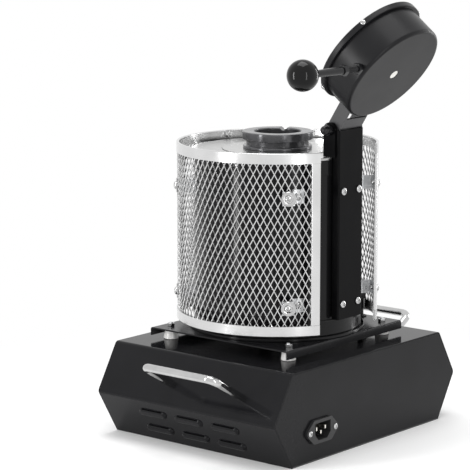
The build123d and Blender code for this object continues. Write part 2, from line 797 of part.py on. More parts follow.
def tray():
    """A plate with its front and back edges turned down."""
    plate = block(
        -TRAY_HALF_X,
        TRAY_HALF_X,
        FURNACE_Y - TRAY_HALF_Y,
        FURNACE_Y + TRAY_HALF_Y,
        TRAY_TOP - TRAY_LIP,
        TRAY_TOP,
    )
    plate = fillet(plate.edges().filter_by(Axis.X).group_by(Axis.Z)[-1], TRAY_T + 1)
    inner = block(
        -TRAY_HALF_X - 1,
        TRAY_HALF_X + 1,
        FURNACE_Y - TRAY_HALF_Y + TRAY_T,
        FURNACE_Y + TRAY_HALF_Y - TRAY_T,
        TRAY_TOP - TRAY_LIP - 1,
        TRAY_UNDER,
    )
    plate -= inner
    under = TRAY_UNDER - 1
    holes = [rod(frame_z(x, y, under), STUD_R + HOLE_GAP, 2 * TRAY_T) for x, y in standoff_spots()]
    holes.append(rod(frame_z(*lead_spot(), under), GROMMET_R, 2 * TRAY_T))
    return plate - holes


# ---- furnace body ----
POST_BOTTOM = SHELL_Z0 + SKIRT_H + EAR_FOOT_GAP
TERMINAL_Z0 = SHELL_Z0 + SKIRT_H + EAR_FOOT_GAP
PROBE_Z = TERMINAL_Z0 + TERMINAL_H / 2
PROBE_AZ = sum(TERMINAL_AZ) / 2


def post_screw_places(radius_y):
    return [
        frame_y(side * POST_SCREW_X, radius_y, TRAY_TOP + z)
        for side in (-1, 1)
        for z in POST_SCREW_Z
    ]


def bracket_screw_places(radius):
    return [radial(az, radius, TRAY_TOP + z) for az in FIXING_AZ for z in FIXING_Z]


def heel_azimuth(az):
    """The middle of a bracket's inner foot, for the bracket whose screw is at az."""
    return az + BRACKET_FOOT / 2 + BRACKET_HEEL / 2


def body_pan():
    return disc(PAN_R, TRAY_TOP, SHELL_Z0)


def body_shell():
    shell = tube(SHELL_R, SHELL_R - SHELL_T, SHELL_Z0, PLATE_UNDER)
    holes = []
    for p in post_screw_places(WEB_OUT_Y - 3 * POST_T):
        holes.append(extrude(p * Circle(SCREW_R + HOLE_GAP), amount=-8 * SHELL_T))
    for az in FIXING_AZ:
        for z in FIXING_Z:
            place = radial(heel_azimuth(az), SHELL_R + 1, TRAY_TOP + z)
            holes.append(extrude(place * Circle(SCREW_R + HOLE_GAP), amount=-3 * SHELL_T))
    probe = radial(PROBE_AZ, SHELL_R + 1, PROBE_Z)
    holes.append(extrude(probe * Circle(PROBE_R + HOLE_GAP), amount=-3 * SHELL_T))
    return shell - holes


def body_bands():
    """The skirt round the shell's foot and the band below its top plate."""
    skirt = tube(BAND_R, SHELL_R + BODY_GAP, SHELL_Z0, SHELL_Z0 + SKIRT_H)
    cap = tube(BAND_R, SHELL_R + BODY_GAP, PLATE_UNDER - CAP_H, PLATE_UNDER)
    return [skirt, cap]


def cap_screws():
    screws = []
    for i in range(CAP_SCREWS):
        az = CAP_SCREW_START + i * 360 / CAP_SCREWS
        if abs(az - POST_AZ) < GUARD_SLOT / 2:
            continue
        place = radial(az, BAND_R, PLATE_UNDER - CAP_H * 0.55)
        screws.append(button(place, CAP_SCREW_R, CAP_SCREW_R * 0.6))
    return screws


def top_plate():
    return tube(PLATE_R, PLATE_BORE_R, PLATE_UNDER, PLATE_TOP)


def mouth_plate():
    return tube(MOUTH_R, MOUTH_BORE_R, PLATE_TOP, SEAT_Z)


# ---- heating chamber ----
MUFFLE_OUT_R = MUFFLE_BORE_R + MUFFLE_T
BRICK_TOP = CRUCIBLE_BOTTOM - CRUCIBLE_AIR


def floor_brick():
    return disc(WOOL_IN_R - BODY_GAP, SHELL_Z0, BRICK_TOP)


def muffle_tube():
    return tube(MUFFLE_OUT_R, MUFFLE_BORE_R, BRICK_TOP, PLATE_TOP)


def heating_element():
    """The sleeve in which the resistance wire is wound round the muffle."""
    return tube(MUFFLE_OUT_R + HEATER_T, MUFFLE_OUT_R + BODY_GAP, BRICK_TOP, PLATE_UNDER - PLATE_T)


def insulation_wall():
    wool = tube(WOOL_OUT_R, WOOL_IN_R, SHELL_Z0, PLATE_UNDER)
    probe = radial(PROBE_AZ, WOOL_OUT_R + 1, PROBE_Z)
    return wool - extrude(probe * Circle(PROBE_R + HOLE_GAP), amount=WOOL_IN_R - WOOL_OUT_R - 3)


def thermocouple():
    """A sheathed probe that ends just short of the heating element."""
    tip = MUFFLE_OUT_R + HEATER_T + 4 * BODY_GAP
    place = radial(PROBE_AZ, tip, PROBE_Z)
    return rod(place, PROBE_R, SHELL_R - BODY_GAP - tip)


def terminal_box():
    return sector(
        SHELL_R + TERMINAL_DEPTH,
        SHELL_R + BODY_GAP,
        *TERMINAL_AZ,
        TERMINAL_Z0,
        TERMINAL_Z0 + TERMINAL_H,
    )


def lead_sleeve():
    low = BASE_H - 4 * COVER_T
    return rod(frame_z(*lead_spot(), low), LEAD_R, TERMINAL_Z0 - low)


def lead_grommets():
    """A grooved ring in the tray and one in the housing's top."""
    rings = []
    for z0, z1 in ((TRAY_UNDER, TRAY_TOP), (BASE_H - COVER_T, BASE_H)):
        place = frame_z(*lead_spot(), z0 - GROMMET_LIP)
        height = z1 - z0 + 2 * GROMMET_LIP
        core = rod(place, GROMMET_R - SEAM, height)
        flange = Circle(GROMMET_R + GROMMET_LIP)
        low = extrude(place * flange, amount=GROMMET_LIP)
        high = extrude(place.offset(height - GROMMET_LIP) * flange, amount=GROMMET_LIP)
        rings.append(core + low + high - rod(place.offset(-1), LEAD_R + SEAM, height + 2))
    return rings


# ---- crucible ----
def crucible():
    """Graphite pot with a double flange, hung by its lower flange."""
    z = CRUCIBLE_BOTTOM
    edges = [
        (0, z),
        (CRUCIBLE_R - 2, z),
        (CRUCIBLE_R, z + 2),
        (CRUCIBLE_R, SEAT_Z),
        (CRUCIBLE_SEAT_R, SEAT_Z),
        (CRUCIBLE_SEAT_R, SEAT_Z + CRUCIBLE_SEAT_H),
        (CRUCIBLE_GROOVE_R, SEAT_Z + CRUCIBLE_SEAT_H),
        (CRUCIBLE_GROOVE_R, CRUCIBLE_TOP - CRUCIBLE_TOP_H),
        (CRUCIBLE_FLANGE_R, CRUCIBLE_TOP - CRUCIBLE_TOP_H),
        (CRUCIBLE_FLANGE_R, CRUCIBLE_TOP - 0.8),
        (CRUCIBLE_FLANGE_R - 0.8, CRUCIBLE_TOP),
        (CRUCIBLE_BORE_R + 1.2, CRUCIBLE_TOP),
        (CRUCIBLE_BORE_R, CRUCIBLE_TOP - 1.2),
        (CRUCIBLE_BORE_R, z + CRUCIBLE_FLOOR + 5),
        (CRUCIBLE_BORE_R - 5, z + CRUCIBLE_FLOOR),
        (0, z + CRUCIBLE_FLOOR),
    ]
    profile = Plane.XZ * make_face(Polyline(*edges, close=True))
    pot = AXIS * revolve(profile, axis=Axis.Z)
    a = math.radians(NOTCH_AZ)
    out = Vector(math.cos(a), math.sin(a), 0)
    origin = Vector(0, FURNACE_Y, CRUCIBLE_TOP) + out * (CRUCIBLE_BORE_R - 2)
    wedge = make_face(Polyline((-NOTCH_W / 2, 1), (NOTCH_W / 2, 1), (0, -NOTCH_D), close=True))
    place = Plane(origin=origin, x_dir=Vector(-out.Y, out.X, 0), z_dir=out)
    return pot - extrude(place * wedge, amount=CRUCIBLE_FLANGE_R)


# ---- guard ----
def polar(radius, azimuth):
    a = math.radians(azimuth)
    return radius * math.cos(a), radius * math.sin(a)


def bent_sheet():
    """The net before it is slit: sheet bent once at every half pitch, standing on edge."""
    bends = [MESH_OPEN_AZ + MESH_PITCH * k / 2 for k in range(2 * MESH_COLUMNS + 1)]
    bends = [GUARD_AZ0 + 0.5, *bends, GUARD_AZ1 - 0.5]
    inner_r = MESH_OUT_R - MESH_T / math.cos(math.radians(MESH_PITCH / 4))
    outer = [polar(MESH_OUT_R, az) for az in bends]
    inner = [polar(inner_r, az) for az in reversed(bends)]
    face = make_face(Polyline(*outer, *inner, close=True))
    height = GUARD_Z1 - GUARD_Z0 - 2 * EDGE_T
    return AXIS * Pos(0, 0, GUARD_Z0 + EDGE_T) * extrude(face, amount=height)


def guard_mesh():
    """Expanded metal: the bent sheet opened into diamonds, each row half a pitch along."""
    z0 = GUARD_Z0 + EDGE_H * 0.6
    rise = (GUARD_Z1 - GUARD_Z0 - EDGE_H * 1.2) / MESH_ROWS
    span = math.radians(MESH_PITCH) * MESH_OUT_R
    width = span - STRAND_W
    height = rise - STRAND_W * rise / span
    diamond = make_face(
        Polyline((-height / 2, 0), (0, -width / 2), (height / 2, 0), (0, width / 2), close=True)
    )
    cutters = []
    for row in range(2 * MESH_ROWS - 1):
        odd = row % 2
        z = z0 + (row + 1) * rise / 2
        for column in range(MESH_COLUMNS - odd):
            az = MESH_OPEN_AZ + (column + 0.5 + odd * 0.5) * MESH_PITCH
            place = radial(az, MESH_IN_R - 1, z)
            cutters.append(extrude(place * diamond, amount=MESH_T + 2))
    for place in bracket_screw_places(MESH_IN_R - 1):
        cutters.append(extrude(place * Circle(SCREW_R + HOLE_GAP), amount=MESH_T + 2))
    return bent_sheet() - cutters


def edge_channel(az0, az1, z0, z1, closed_top):
    """A folded strip that hugs the mesh from both sides and closes over its edge."""
    strip = sector(GUARD_R, MESH_IN_R - EDGE_T, az0, az1, z0, z1)
    low, high = (z0 - 1, z1 - EDGE_T) if closed_top else (z0 + EDGE_T, z1 + 1)
    gap = SEAM / 2
    return strip - sector(MESH_OUT_R + gap, MESH_IN_R - gap, az0 - 1, az1 + 1, low, high)


def guard_bands():
    """The two hoops that close the mesh's upper and lower edges."""
    top = edge_channel(GUARD_AZ0, GUARD_AZ1, GUARD_Z1 - EDGE_H, GUARD_Z1, True)
    bottom = edge_channel(GUARD_AZ0, GUARD_AZ1, GUARD_Z0, GUARD_Z0 + EDGE_H, False)
    return [top, bottom]


def guard_edge_strips():
    strips = []
    gap = SEAM / 2
    z0, z1 = GUARD_Z0 + EDGE_H, GUARD_Z1 - EDGE_H
    for az0, az1, in0, in1 in (
        (GUARD_AZ0, GUARD_AZ0 + EDGE_ARC, GUARD_AZ0 + 0.45, GUARD_AZ0 + EDGE_ARC + 1),
        (GUARD_AZ1 - EDGE_ARC, GUARD_AZ1, GUARD_AZ1 - EDGE_ARC - 1, GUARD_AZ1 - 0.45),
    ):
        strip = sector(GUARD_R, MESH_IN_R - EDGE_T, az0, az1, z0, z1)
        strips.append(strip - sector(MESH_OUT_R + gap, MESH_IN_R - gap, in0, in1, z0 - 1, z1 + 1))
    return strips


def guard_brackets():
    """Z-shaped straps: a foot on the mesh, a radial leg and a heel on the shell."""
    straps = []
    for az in FIXING_AZ:
        for height in FIXING_Z:
            z0 = TRAY_TOP + height - BRACKET_H / 2
            z1 = z0 + BRACKET_H
            turn = az + BRACKET_FOOT / 2
            leg_arc = math.degrees(BRACKET_T / SHELL_R)
            far, near = MESH_IN_R - SEAM / 2, SHELL_R + SEAM / 2
            foot = sector(far, far - BRACKET_T, az - BRACKET_FOOT / 2, turn, z0, z1)
            leg = sector(far, near, turn - leg_arc, turn, z0, z1)
            heel = sector(near + BRACKET_T, near, turn - leg_arc, turn + BRACKET_HEEL, z0, z1)
            strap = foot + leg + heel
            outer = radial(az, MESH_IN_R - 2 * BRACKET_T, TRAY_TOP + height)
            inner = radial(heel_azimuth(az), SHELL_R - 1, TRAY_TOP + height)
            strap -= extrude(outer * Circle(SCREW_R + HOLE_GAP), amount=4 * BRACKET_T)
            strap -= extrude(inner * Circle(SCREW_R + HOLE_GAP), amount=4 * BRACKET_T)
            straps.append(strap)
    return straps


def guard_screws():
    """Wide-collared screws through mesh and bracket, and plain ones into the shell."""
    length = MESH_T + 2 * BRACKET_T + 2
    screws = []
    for place in bracket_screw_places(MESH_OUT_R + SEAM):
        collar = extrude(place * Circle(WASHER_R), amount=WASHER_T)
        screws.append(collar + pan_screw(place, HEAD_R, WASHER_T + HEAD_H, SCREW_R, length))
    for az in FIXING_AZ:
        for z in FIXING_Z:
            place = radial(heel_azimuth(az), SHELL_R + BRACKET_T + SEAM, TRAY_TOP + z)
            screws.append(pan_screw(place, HEAD_R, HEAD_H, SCREW_R, BRACKET_T + SHELL_T + 1.5))
    return screws


# ---- lid post and hinge ----
ARM_ANGLE = math.radians(ARM_DIP)
ARM_PLANE = Plane(
    origin=(0, HINGE_Y, HINGE_Z),
    x_dir=(0, -math.cos(ARM_ANGLE), -math.sin(ARM_ANGLE)),
    z_dir=(-1, 0, 0),
)
HINGE_AXIS = Axis((0, HINGE_Y, HINGE_Z), (1, 0, 0))


def swing(shape):
    """Turns a piece drawn with the lid shut to where it is with the lid open."""
    if isinstance(shape, list):
        return [s.rotate(HINGE_AXIS, -LID_OPEN) for s in shape]
    return shape.rotate(HINGE_AXIS, -LID_OPEN)


def arm_stop_height():
    """Height of the arm web's lowest corner when the lid is open."""
    corner = ARM_PLANE.from_local_coords(Vector(ARM_WEB[0], ARM_RISE, 0))
    turn = math.radians(-LID_OPEN)
    dy, dz = corner.Y - HINGE_Y, corner.Z - HINGE_Z
    return HINGE_Z + dy * math.sin(turn) + dz * math.cos(turn)


POST_TOP = arm_stop_height() - STOP_GAP


def post_cheek():
    """Side view of the post's flange: narrow beside the body, wide at the hinge."""
    y_in = FURNACE_Y + POST_FLANGE_IN
    z_ear = PLATE_TOP + EAR_FOOT_GAP
    front = HINGE_Y - EAR_R
    cheek = make_face(
        Polyline(
            (y_in, POST_BOTTOM),
            (WEB_OUT_Y, POST_BOTTOM),
            (WEB_OUT_Y, POST_TOP),
            (HINGE_Y, POST_TOP),
            (HINGE_Y, HINGE_Z),
            (front, HINGE_Z),
            (front, z_ear),
            (y_in, z_ear),
            close=True,
        )
    )
    return cheek + Pos(HINGE_Y, HINGE_Z) * Circle(EAR_R)


def post():
    """A channel whose web faces backwards; its flanges carry the hinge bolt."""
    body = slab_x(post_cheek(), -POST_HALF, POST_HALF)
    back = body.edges().filter_by(Axis.Z).group_by(Axis.Y)[-1]
    body = fillet(back, POST_T * 0.9)
    inner = POST_HALF - POST_T
    body -= block(-inner, inner, FURNACE_Y, WEB_OUT_Y - POST_T, POST_BOTTOM - 1, HINGE_Z + 2 * EAR_R)
    body -= block(-inner, inner, FURNACE_Y, WEB_OUT_Y + 1, POST_TOP, HINGE_Z + 2 * EAR_R)
    body += hinge_ears()
    body -= rod(frame_x(-2 * POST_HALF, HINGE_Y, HINGE_Z), HINGE_PIN_R + SEAM / 2, 4 * POST_HALF)
    for place in post_screw_places(WEB_OUT_Y + 1):
        body -= extrude(place * Circle(SCREW_R + HOLE_GAP), amount=-3 * POST_T)
    return body


def hinge_ears():
    """Doubler plates welded outside the flanges, rounded over the bolt."""
    z_ear = PLATE_TOP + EAR_FOOT_GAP
    shape = Pos(HINGE_Y, (z_ear + HINGE_Z) / 2) * Rectangle(2 * EAR_R, HINGE_Z - z_ear)
    shape += Pos(HINGE_Y, HINGE_Z) * Circle(EAR_R)
    right = slab_x(shape, POST_HALF - POST_T / 2, POST_HALF + EAR_T)
    return [right, mirror(right, about=Plane.YZ)]


def post_bushes():
    """Distance bushes between the shell and the post's web."""
    bushes = []
    for place in post_screw_places(WEB_OUT_Y - POST_T):
        bush = extrude(place * Circle(BUSH_R), amount=-3 * BUSH_R)
        bush -= extrude(place.offset(1) * Circle(SCREW_R + HOLE_GAP), amount=-4 * BUSH_R)
        bushes.append(bush - disc(SHELL_R + SEAM / 2, 0, PLATE_TOP))
    return bushes


def post_screws():
    reach = POST_OUT - SHELL_R + 5
    return [pan_screw(p, HEAD_R, HEAD_H, SCREW_R, reach) for p in post_screw_places(WEB_OUT_Y)]


def hinge_bolt():
    side = POST_HALF + EAR_T
    place = frame_x(-side, HINGE_Y, HINGE_Z)
    shank = rod(place, HINGE_PIN_R, 2 * side + HINGE_NUT_H)
    return shank + hex_prism(place, HINGE_NUT_AF, -HINGE_NUT_H + 1)


def hinge_nut():
    """A cap nut: six flats and a domed end."""
    place = frame_x(POST_HALF + EAR_T, HINGE_Y, HINGE_Z)
    nut = hex_prism(place, HINGE_NUT_AF, HINGE_NUT_H)
    dome = extrude(place.offset(HINGE_NUT_H) * Circle(HINGE_CAP_R), amount=HINGE_CAP_H)
    dome = chamfer(dome.edges().group_by(Axis.X)[-1], HINGE_CAP_R * 0.4)
    return nut + dome - rod(place.offset(-1), HINGE_PIN_R + SEAM / 2, HINGE_NUT_H + 1.5)


# ---- lid, all drawn shut ----
GRIP_Y = FURNACE_Y - GRIP_FORWARD
GRIP_Z = LID_Z1 - GRIP_DROP
GRIP_WALL_X = math.sqrt(LID_R**2 - GRIP_FORWARD**2)
WOOL_Z0 = LID_Z0 + LID_T


def lid_shell():
    drum = disc(LID_R, WOOL_Z0, LID_Z1)
    drum = fillet(drum.edges().group_by(Axis.Z)[-1], LID_EDGE_R)
    room = disc(LID_R - LID_T, WOOL_Z0 - 1, LID_Z1 - LID_T)
    room = fillet(room.edges().group_by(Axis.Z)[-1], LID_EDGE_R - LID_T)
    drum -= room
    drum -= disc(VENT_R, LID_Z1 - 2 * LID_EDGE_R, LID_Z1 + 1)
    drum -= rod(frame_x(LID_R / 2, GRIP_Y, GRIP_Z), GRIP_STUD_R + HOLE_GAP, LID_R)
    cuts = []
    for place in rim_screw_places():
        cuts.append(extrude(place * Circle(RIM_SCREW_R + HOLE_GAP), amount=-2 * (RIM_R - LID_R) - LID_T))
    return drum - cuts


def rim_screw_places():
    return [
        radial(RIM_SCREW_AZ + i * 360 / RIM_SCREWS, RIM_R, LID_Z0 + RIM_H / 2)
        for i in range(RIM_SCREWS)
    ]


def lid_rim_ring():
    """A folded ring that closes the drum from below and holds the insulation in."""
    ring = tube(RIM_R, RECESS_R, LID_Z0, LID_Z0 + RIM_H)
    ring -= tube(RIM_R - LID_T, RECESS_R - 1, WOOL_Z0, LID_Z0 + RIM_H - LID_T)
    ring -= tube(LID_R + BODY_GAP, RECESS_R - 1, WOOL_Z0, LID_Z0 + RIM_H + 1)
    cuts = [extrude(p * Circle(RIM_SCREW_R + HOLE_GAP), amount=-2 * LID_T) for p in rim_screw_places()]
    return ring - cuts


def lid_rim_screws():
    reach = RIM_R - LID_R + 2 * LID_T
    return [
        pan_screw(p, RIM_SCREW_HEAD_R, RIM_SCREW_HEAD_H, RIM_SCREW_R, reach)
        for p in rim_screw_places()
    ]


def lid_insulation():
    """The drum's filling, hollowed so that it shuts over the crucible's flange."""
    top = LID_Z1 - LID_T - BODY_GAP
    filling = disc(LID_R - LID_T - BODY_GAP, WOOL_Z0, top)
    filling = fillet(filling.edges().group_by(Axis.Z)[-1], LID_EDGE_R - LID_T)
    filling -= disc(RECESS_R, WOOL_Z0 - 1, CRUCIBLE_TOP + RECESS_GAP)
    filling -= disc(VENT_R, LID_Z1 - VENT_DEPTH, LID_Z1)
    filling -= rod(frame_x(LID_R / 2, GRIP_Y, GRIP_Z), GRIP_NUT_AF * 0.65, LID_R)
    cuts = []
    for place in rim_screw_places():
        cuts.append(extrude(place * Circle(RIM_SCREW_R + 3 * HOLE_GAP), amount=-3 * (RIM_R - LID_R)))
    return filling - cuts


def lid_vent_plug():
    return disc(VENT_R - VENT_GAP, LID_Z1 - VENT_DEPTH, LID_Z1 - VENT_GAP)


def lid_arm():
    """A channel from the hinge bolt to the saddle on the drum's side."""
    cheek = make_face(
        Polyline(
            (0, -ARM_DROP),
            (ARM_REACH, -ARM_DROP),
            (ARM_REACH, ARM_RISE),
            (ARM_WEB[0], ARM_RISE),
            (ARM_WEB[0], 0),
            (0, 0),
            close=True,
        )
    )
    cheek += Circle(ARM_NOSE_R)
    body = extrude(ARM_PLANE * cheek, amount=ARM_HALF, both=True)
    inner = ARM_HALF - ARM_T
    open_low = Rectangle(4 * ARM_REACH, 4 * ARM_RISE)
    below = Pos(0, ARM_RISE - ARM_T - 2 * ARM_RISE) * open_low
    before = Pos(ARM_WEB[0] - 2 * ARM_REACH, 0) * open_low
    beyond = Pos(ARM_WEB[1] + 2 * ARM_REACH, 0) * open_low
    hollow = extrude(ARM_PLANE * (below + before + beyond), amount=inner, both=True)
    body -= hollow
    body -= rod(frame_x(-2 * ARM_HALF, HINGE_Y, HINGE_Z), HINGE_PIN_R + HINGE_PIN_GAP, 4 * ARM_HALF)
    return body - disc(LID_R + BODY_GAP + SADDLE_T + SEAM / 2, LID_Z0 - LID_H, LID_Z1 + LID_H)


def lid_saddle():
    """A curved plate that spreads the arm's load over the drum's side."""
    span = math.degrees(math.asin(SADDLE_HALF / LID_R))
    inner = LID_R + BODY_GAP
    return sector(
        inner + SADDLE_T,
        inner,
        POST_AZ - span,
        POST_AZ + span,
        LID_Z0 + RIM_H + BODY_GAP,
        LID_Z1 - SADDLE_TOP_GAP,
    )


def lid_grip_nuts():
    """One nut outside and one inside the drum's wall."""
    step = GRIP_NUT_AF / math.sqrt(3)
    outer_x = math.sqrt(LID_R**2 - (GRIP_FORWARD - step) ** 2) + SEAM
    inner_r = LID_R - LID_T
    inner_x = math.sqrt(inner_r**2 - (GRIP_FORWARD + step) ** 2) - SEAM
    nuts = []
    for x in (outer_x, inner_x - GRIP_NUT_H):
        place = frame_x(x, GRIP_Y, GRIP_Z)
        hole = rod(place.offset(-1), GRIP_STUD_R + SEAM / 2, GRIP_NUT_H + 2)
        nuts.append(hex_prism(place, GRIP_NUT_AF, GRIP_NUT_H) - hole)
    return nuts


def lid_grip_rod():
    """A turned rod: a stud through the drum's wall, a six-sided collar and a taper."""
    start = GRIP_WALL_X - LID_T - GRIP_NUT_H - 2
    stud = rod(frame_x(start, GRIP_Y, GRIP_Z), GRIP_STUD_R, GRIP_COLLAR_X + 1 - start)
    collar = hex_prism(frame_x(GRIP_COLLAR_X, GRIP_Y, GRIP_Z), GRIP_NUT_AF, GRIP_COLLAR_H)
    thick = frame_x(GRIP_COLLAR_X + GRIP_COLLAR_H, GRIP_Y, GRIP_Z)
    thin = frame_x(GRIP_BALL_X - GRIP_BALL_R + GRIP_SINK, GRIP_Y, GRIP_Z)
    taper = loft([thick * Circle(GRIP_ROD_R[0]), thin * Circle(GRIP_ROD_R[1])])
    return stud + collar + taper


def lid_ball_knob():
    ball = Pos(GRIP_BALL_X, GRIP_Y, GRIP_Z) * Sphere(GRIP_BALL_R)
    start = GRIP_BALL_X - 2 * GRIP_BALL_R
    end = GRIP_BALL_X - GRIP_BALL_R + GRIP_SINK + SEAM
    hole = rod(frame_x(start, GRIP_Y, GRIP_Z), GRIP_ROD_R[1] + 3 * SEAM, end - start)
    return ball - hole


PARTS = {
    "base_cover": base_cover(),
    "floor_plate": floor_plate(),
    "rear_panel": rear_panel(),
    "front_panel": front_panel(),
    "carry_handle_right": carry_handle(HANDLE_RIGHT_Y),
    "carry_handle_left": mirror(carry_handle(HANDLE_LEFT_Y), about=Plane.YZ),
    "handle_bolts": handle_bolts(HANDLE_RIGHT_Y)
    + [mirror(b, about=Plane.YZ) for b in handle_bolts(HANDLE_LEFT_Y)],
    "inlet_socket": inlet_socket(),
    "inlet_blades": inlet_blades(),
    "inlet_screws": inlet_screws(),
    "controller_case": controller_case(),
    "controller_window": controller_window(),
    "key_set": controller_key(key_spots()[0]),
    "key_shift": controller_key(key_spots()[1]),
    "key_down": controller_key(key_spots()[2]),
    "key_up": controller_key(key_spots()[3]),
    "switch_housing": switch_housing(),
    "switch_rocker": switch_rocker(),
    "heat_sink": heat_sink(),
    "solid_state_relay": relay(),
    "ceramic_standoffs": standoffs(),
    "standoff_studs": standoff_studs(),
    "standoff_nuts": standoff_nuts(),
    "tray": tray(),
    "body_pan": body_pan(),
    "body_shell": body_shell(),
    "body_bands": body_bands(),
    "cap_screws": cap_screws(),
    "top_plate": top_plate(),
    "mouth_plate": mouth_plate(),
    "floor_brick": floor_brick(),
    "muffle_tube": muffle_tube(),
    "heating_element": heating_element(),
    "insulation_wall": insulation_wall(),
    "thermocouple": thermocouple(),
    "terminal_box": terminal_box(),
    "lead_sleeve": lead_sleeve(),
    "lead_grommets": lead_grommets(),
    "crucible": crucible(),
    "guard_mesh": guard_mesh(),
    "guard_bands": guard_bands(),
    "guard_edge_strips": guard_edge_strips(),
    "guard_brackets": guard_brackets(),
    "guard_screws": guard_screws(),
    "lid_post": post(),
    "post_bushes": post_bushes(),
    "post_screws": post_screws(),
    "hinge_bolt": hinge_bolt(),
    "hinge_cap_nut": hinge_nut(),
    "lid_shell": swing(lid_shell()),
    "lid_rim_ring": swing(lid_rim_ring()),
    "lid_rim_screws": swing(lid_rim_screws()),
    "lid_insulation": swing(lid_insulation()),
    "lid_vent_plug": swing(lid_vent_plug()),
    "lid_arm": swing(lid_arm()),
    "lid_saddle": swing(lid_saddle()),
    "lid_grip_nuts": swing(lid_grip_nuts()),
    "lid_grip_rod": swing(lid_grip_rod()),
    "lid_ball_knob": swing(lid_ball_knob()),
}

os.makedirs("parts", exist_ok=True)
for name, shape in PARTS.items():
    solids = shape if isinstance(shape, list) else [shape]
    export_step(Compound(children=[s for piece in solids for s in piece.solids()]), f"parts/{name}.step")
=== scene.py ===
"""Looks of an electric melting furnace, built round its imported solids.

The base, tray, body, crucible, guard, post and lid are modelled here in finer
detail than their solids, at the places and sizes that the solids give them.
"""

import json
import logging
import math
from collections.abc import Callable, Iterator, Sequence
from contextlib import contextmanager
from dataclasses import dataclass
from enum import Enum

import bmesh
import bpy
from mathutils import Matrix, Vector


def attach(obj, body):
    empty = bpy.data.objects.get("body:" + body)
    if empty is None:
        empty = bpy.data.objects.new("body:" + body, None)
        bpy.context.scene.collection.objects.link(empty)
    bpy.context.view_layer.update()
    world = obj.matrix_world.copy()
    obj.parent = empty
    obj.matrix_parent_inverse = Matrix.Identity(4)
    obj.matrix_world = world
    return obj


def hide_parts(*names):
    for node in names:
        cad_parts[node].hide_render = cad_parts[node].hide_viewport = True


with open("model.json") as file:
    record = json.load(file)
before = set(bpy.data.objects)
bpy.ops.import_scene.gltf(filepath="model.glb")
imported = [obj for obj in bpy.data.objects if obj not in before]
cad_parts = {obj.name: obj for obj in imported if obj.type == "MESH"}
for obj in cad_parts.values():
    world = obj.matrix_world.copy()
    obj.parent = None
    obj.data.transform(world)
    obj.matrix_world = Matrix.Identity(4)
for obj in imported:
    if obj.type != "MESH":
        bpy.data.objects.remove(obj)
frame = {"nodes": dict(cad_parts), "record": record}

LOG = logging.getLogger("furnace")
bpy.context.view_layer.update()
MM = 0.001
Profile = list[tuple[float, float]]
Triple = tuple[float, float, float]

# Heights and places, in millimetres, that several sub-assemblies share.
FURNACE_Y = -3.0
TRAY_TOP = 107.0
SHELL_Z0 = 110.0
PLATE_TOP = 289.8
SEAT_Z = 290.6
CRUCIBLE_TOP = 307.9
HINGE = (0.0, 79.8, 317.3)
LID_OPEN = 128.5


# ---- finishes ----
class Grain(Enum):
    """How a surface's fine relief runs."""

    SPECKLE = "speckle"
    BRUSHED_UP = "brushed along Z"
    BRUSHED_ROUND = "brushed round the axis"
    TURNED = "turned rings"
    PEEL = "orange peel"
    POROUS = "porous"
    FIBRE = "fibre"


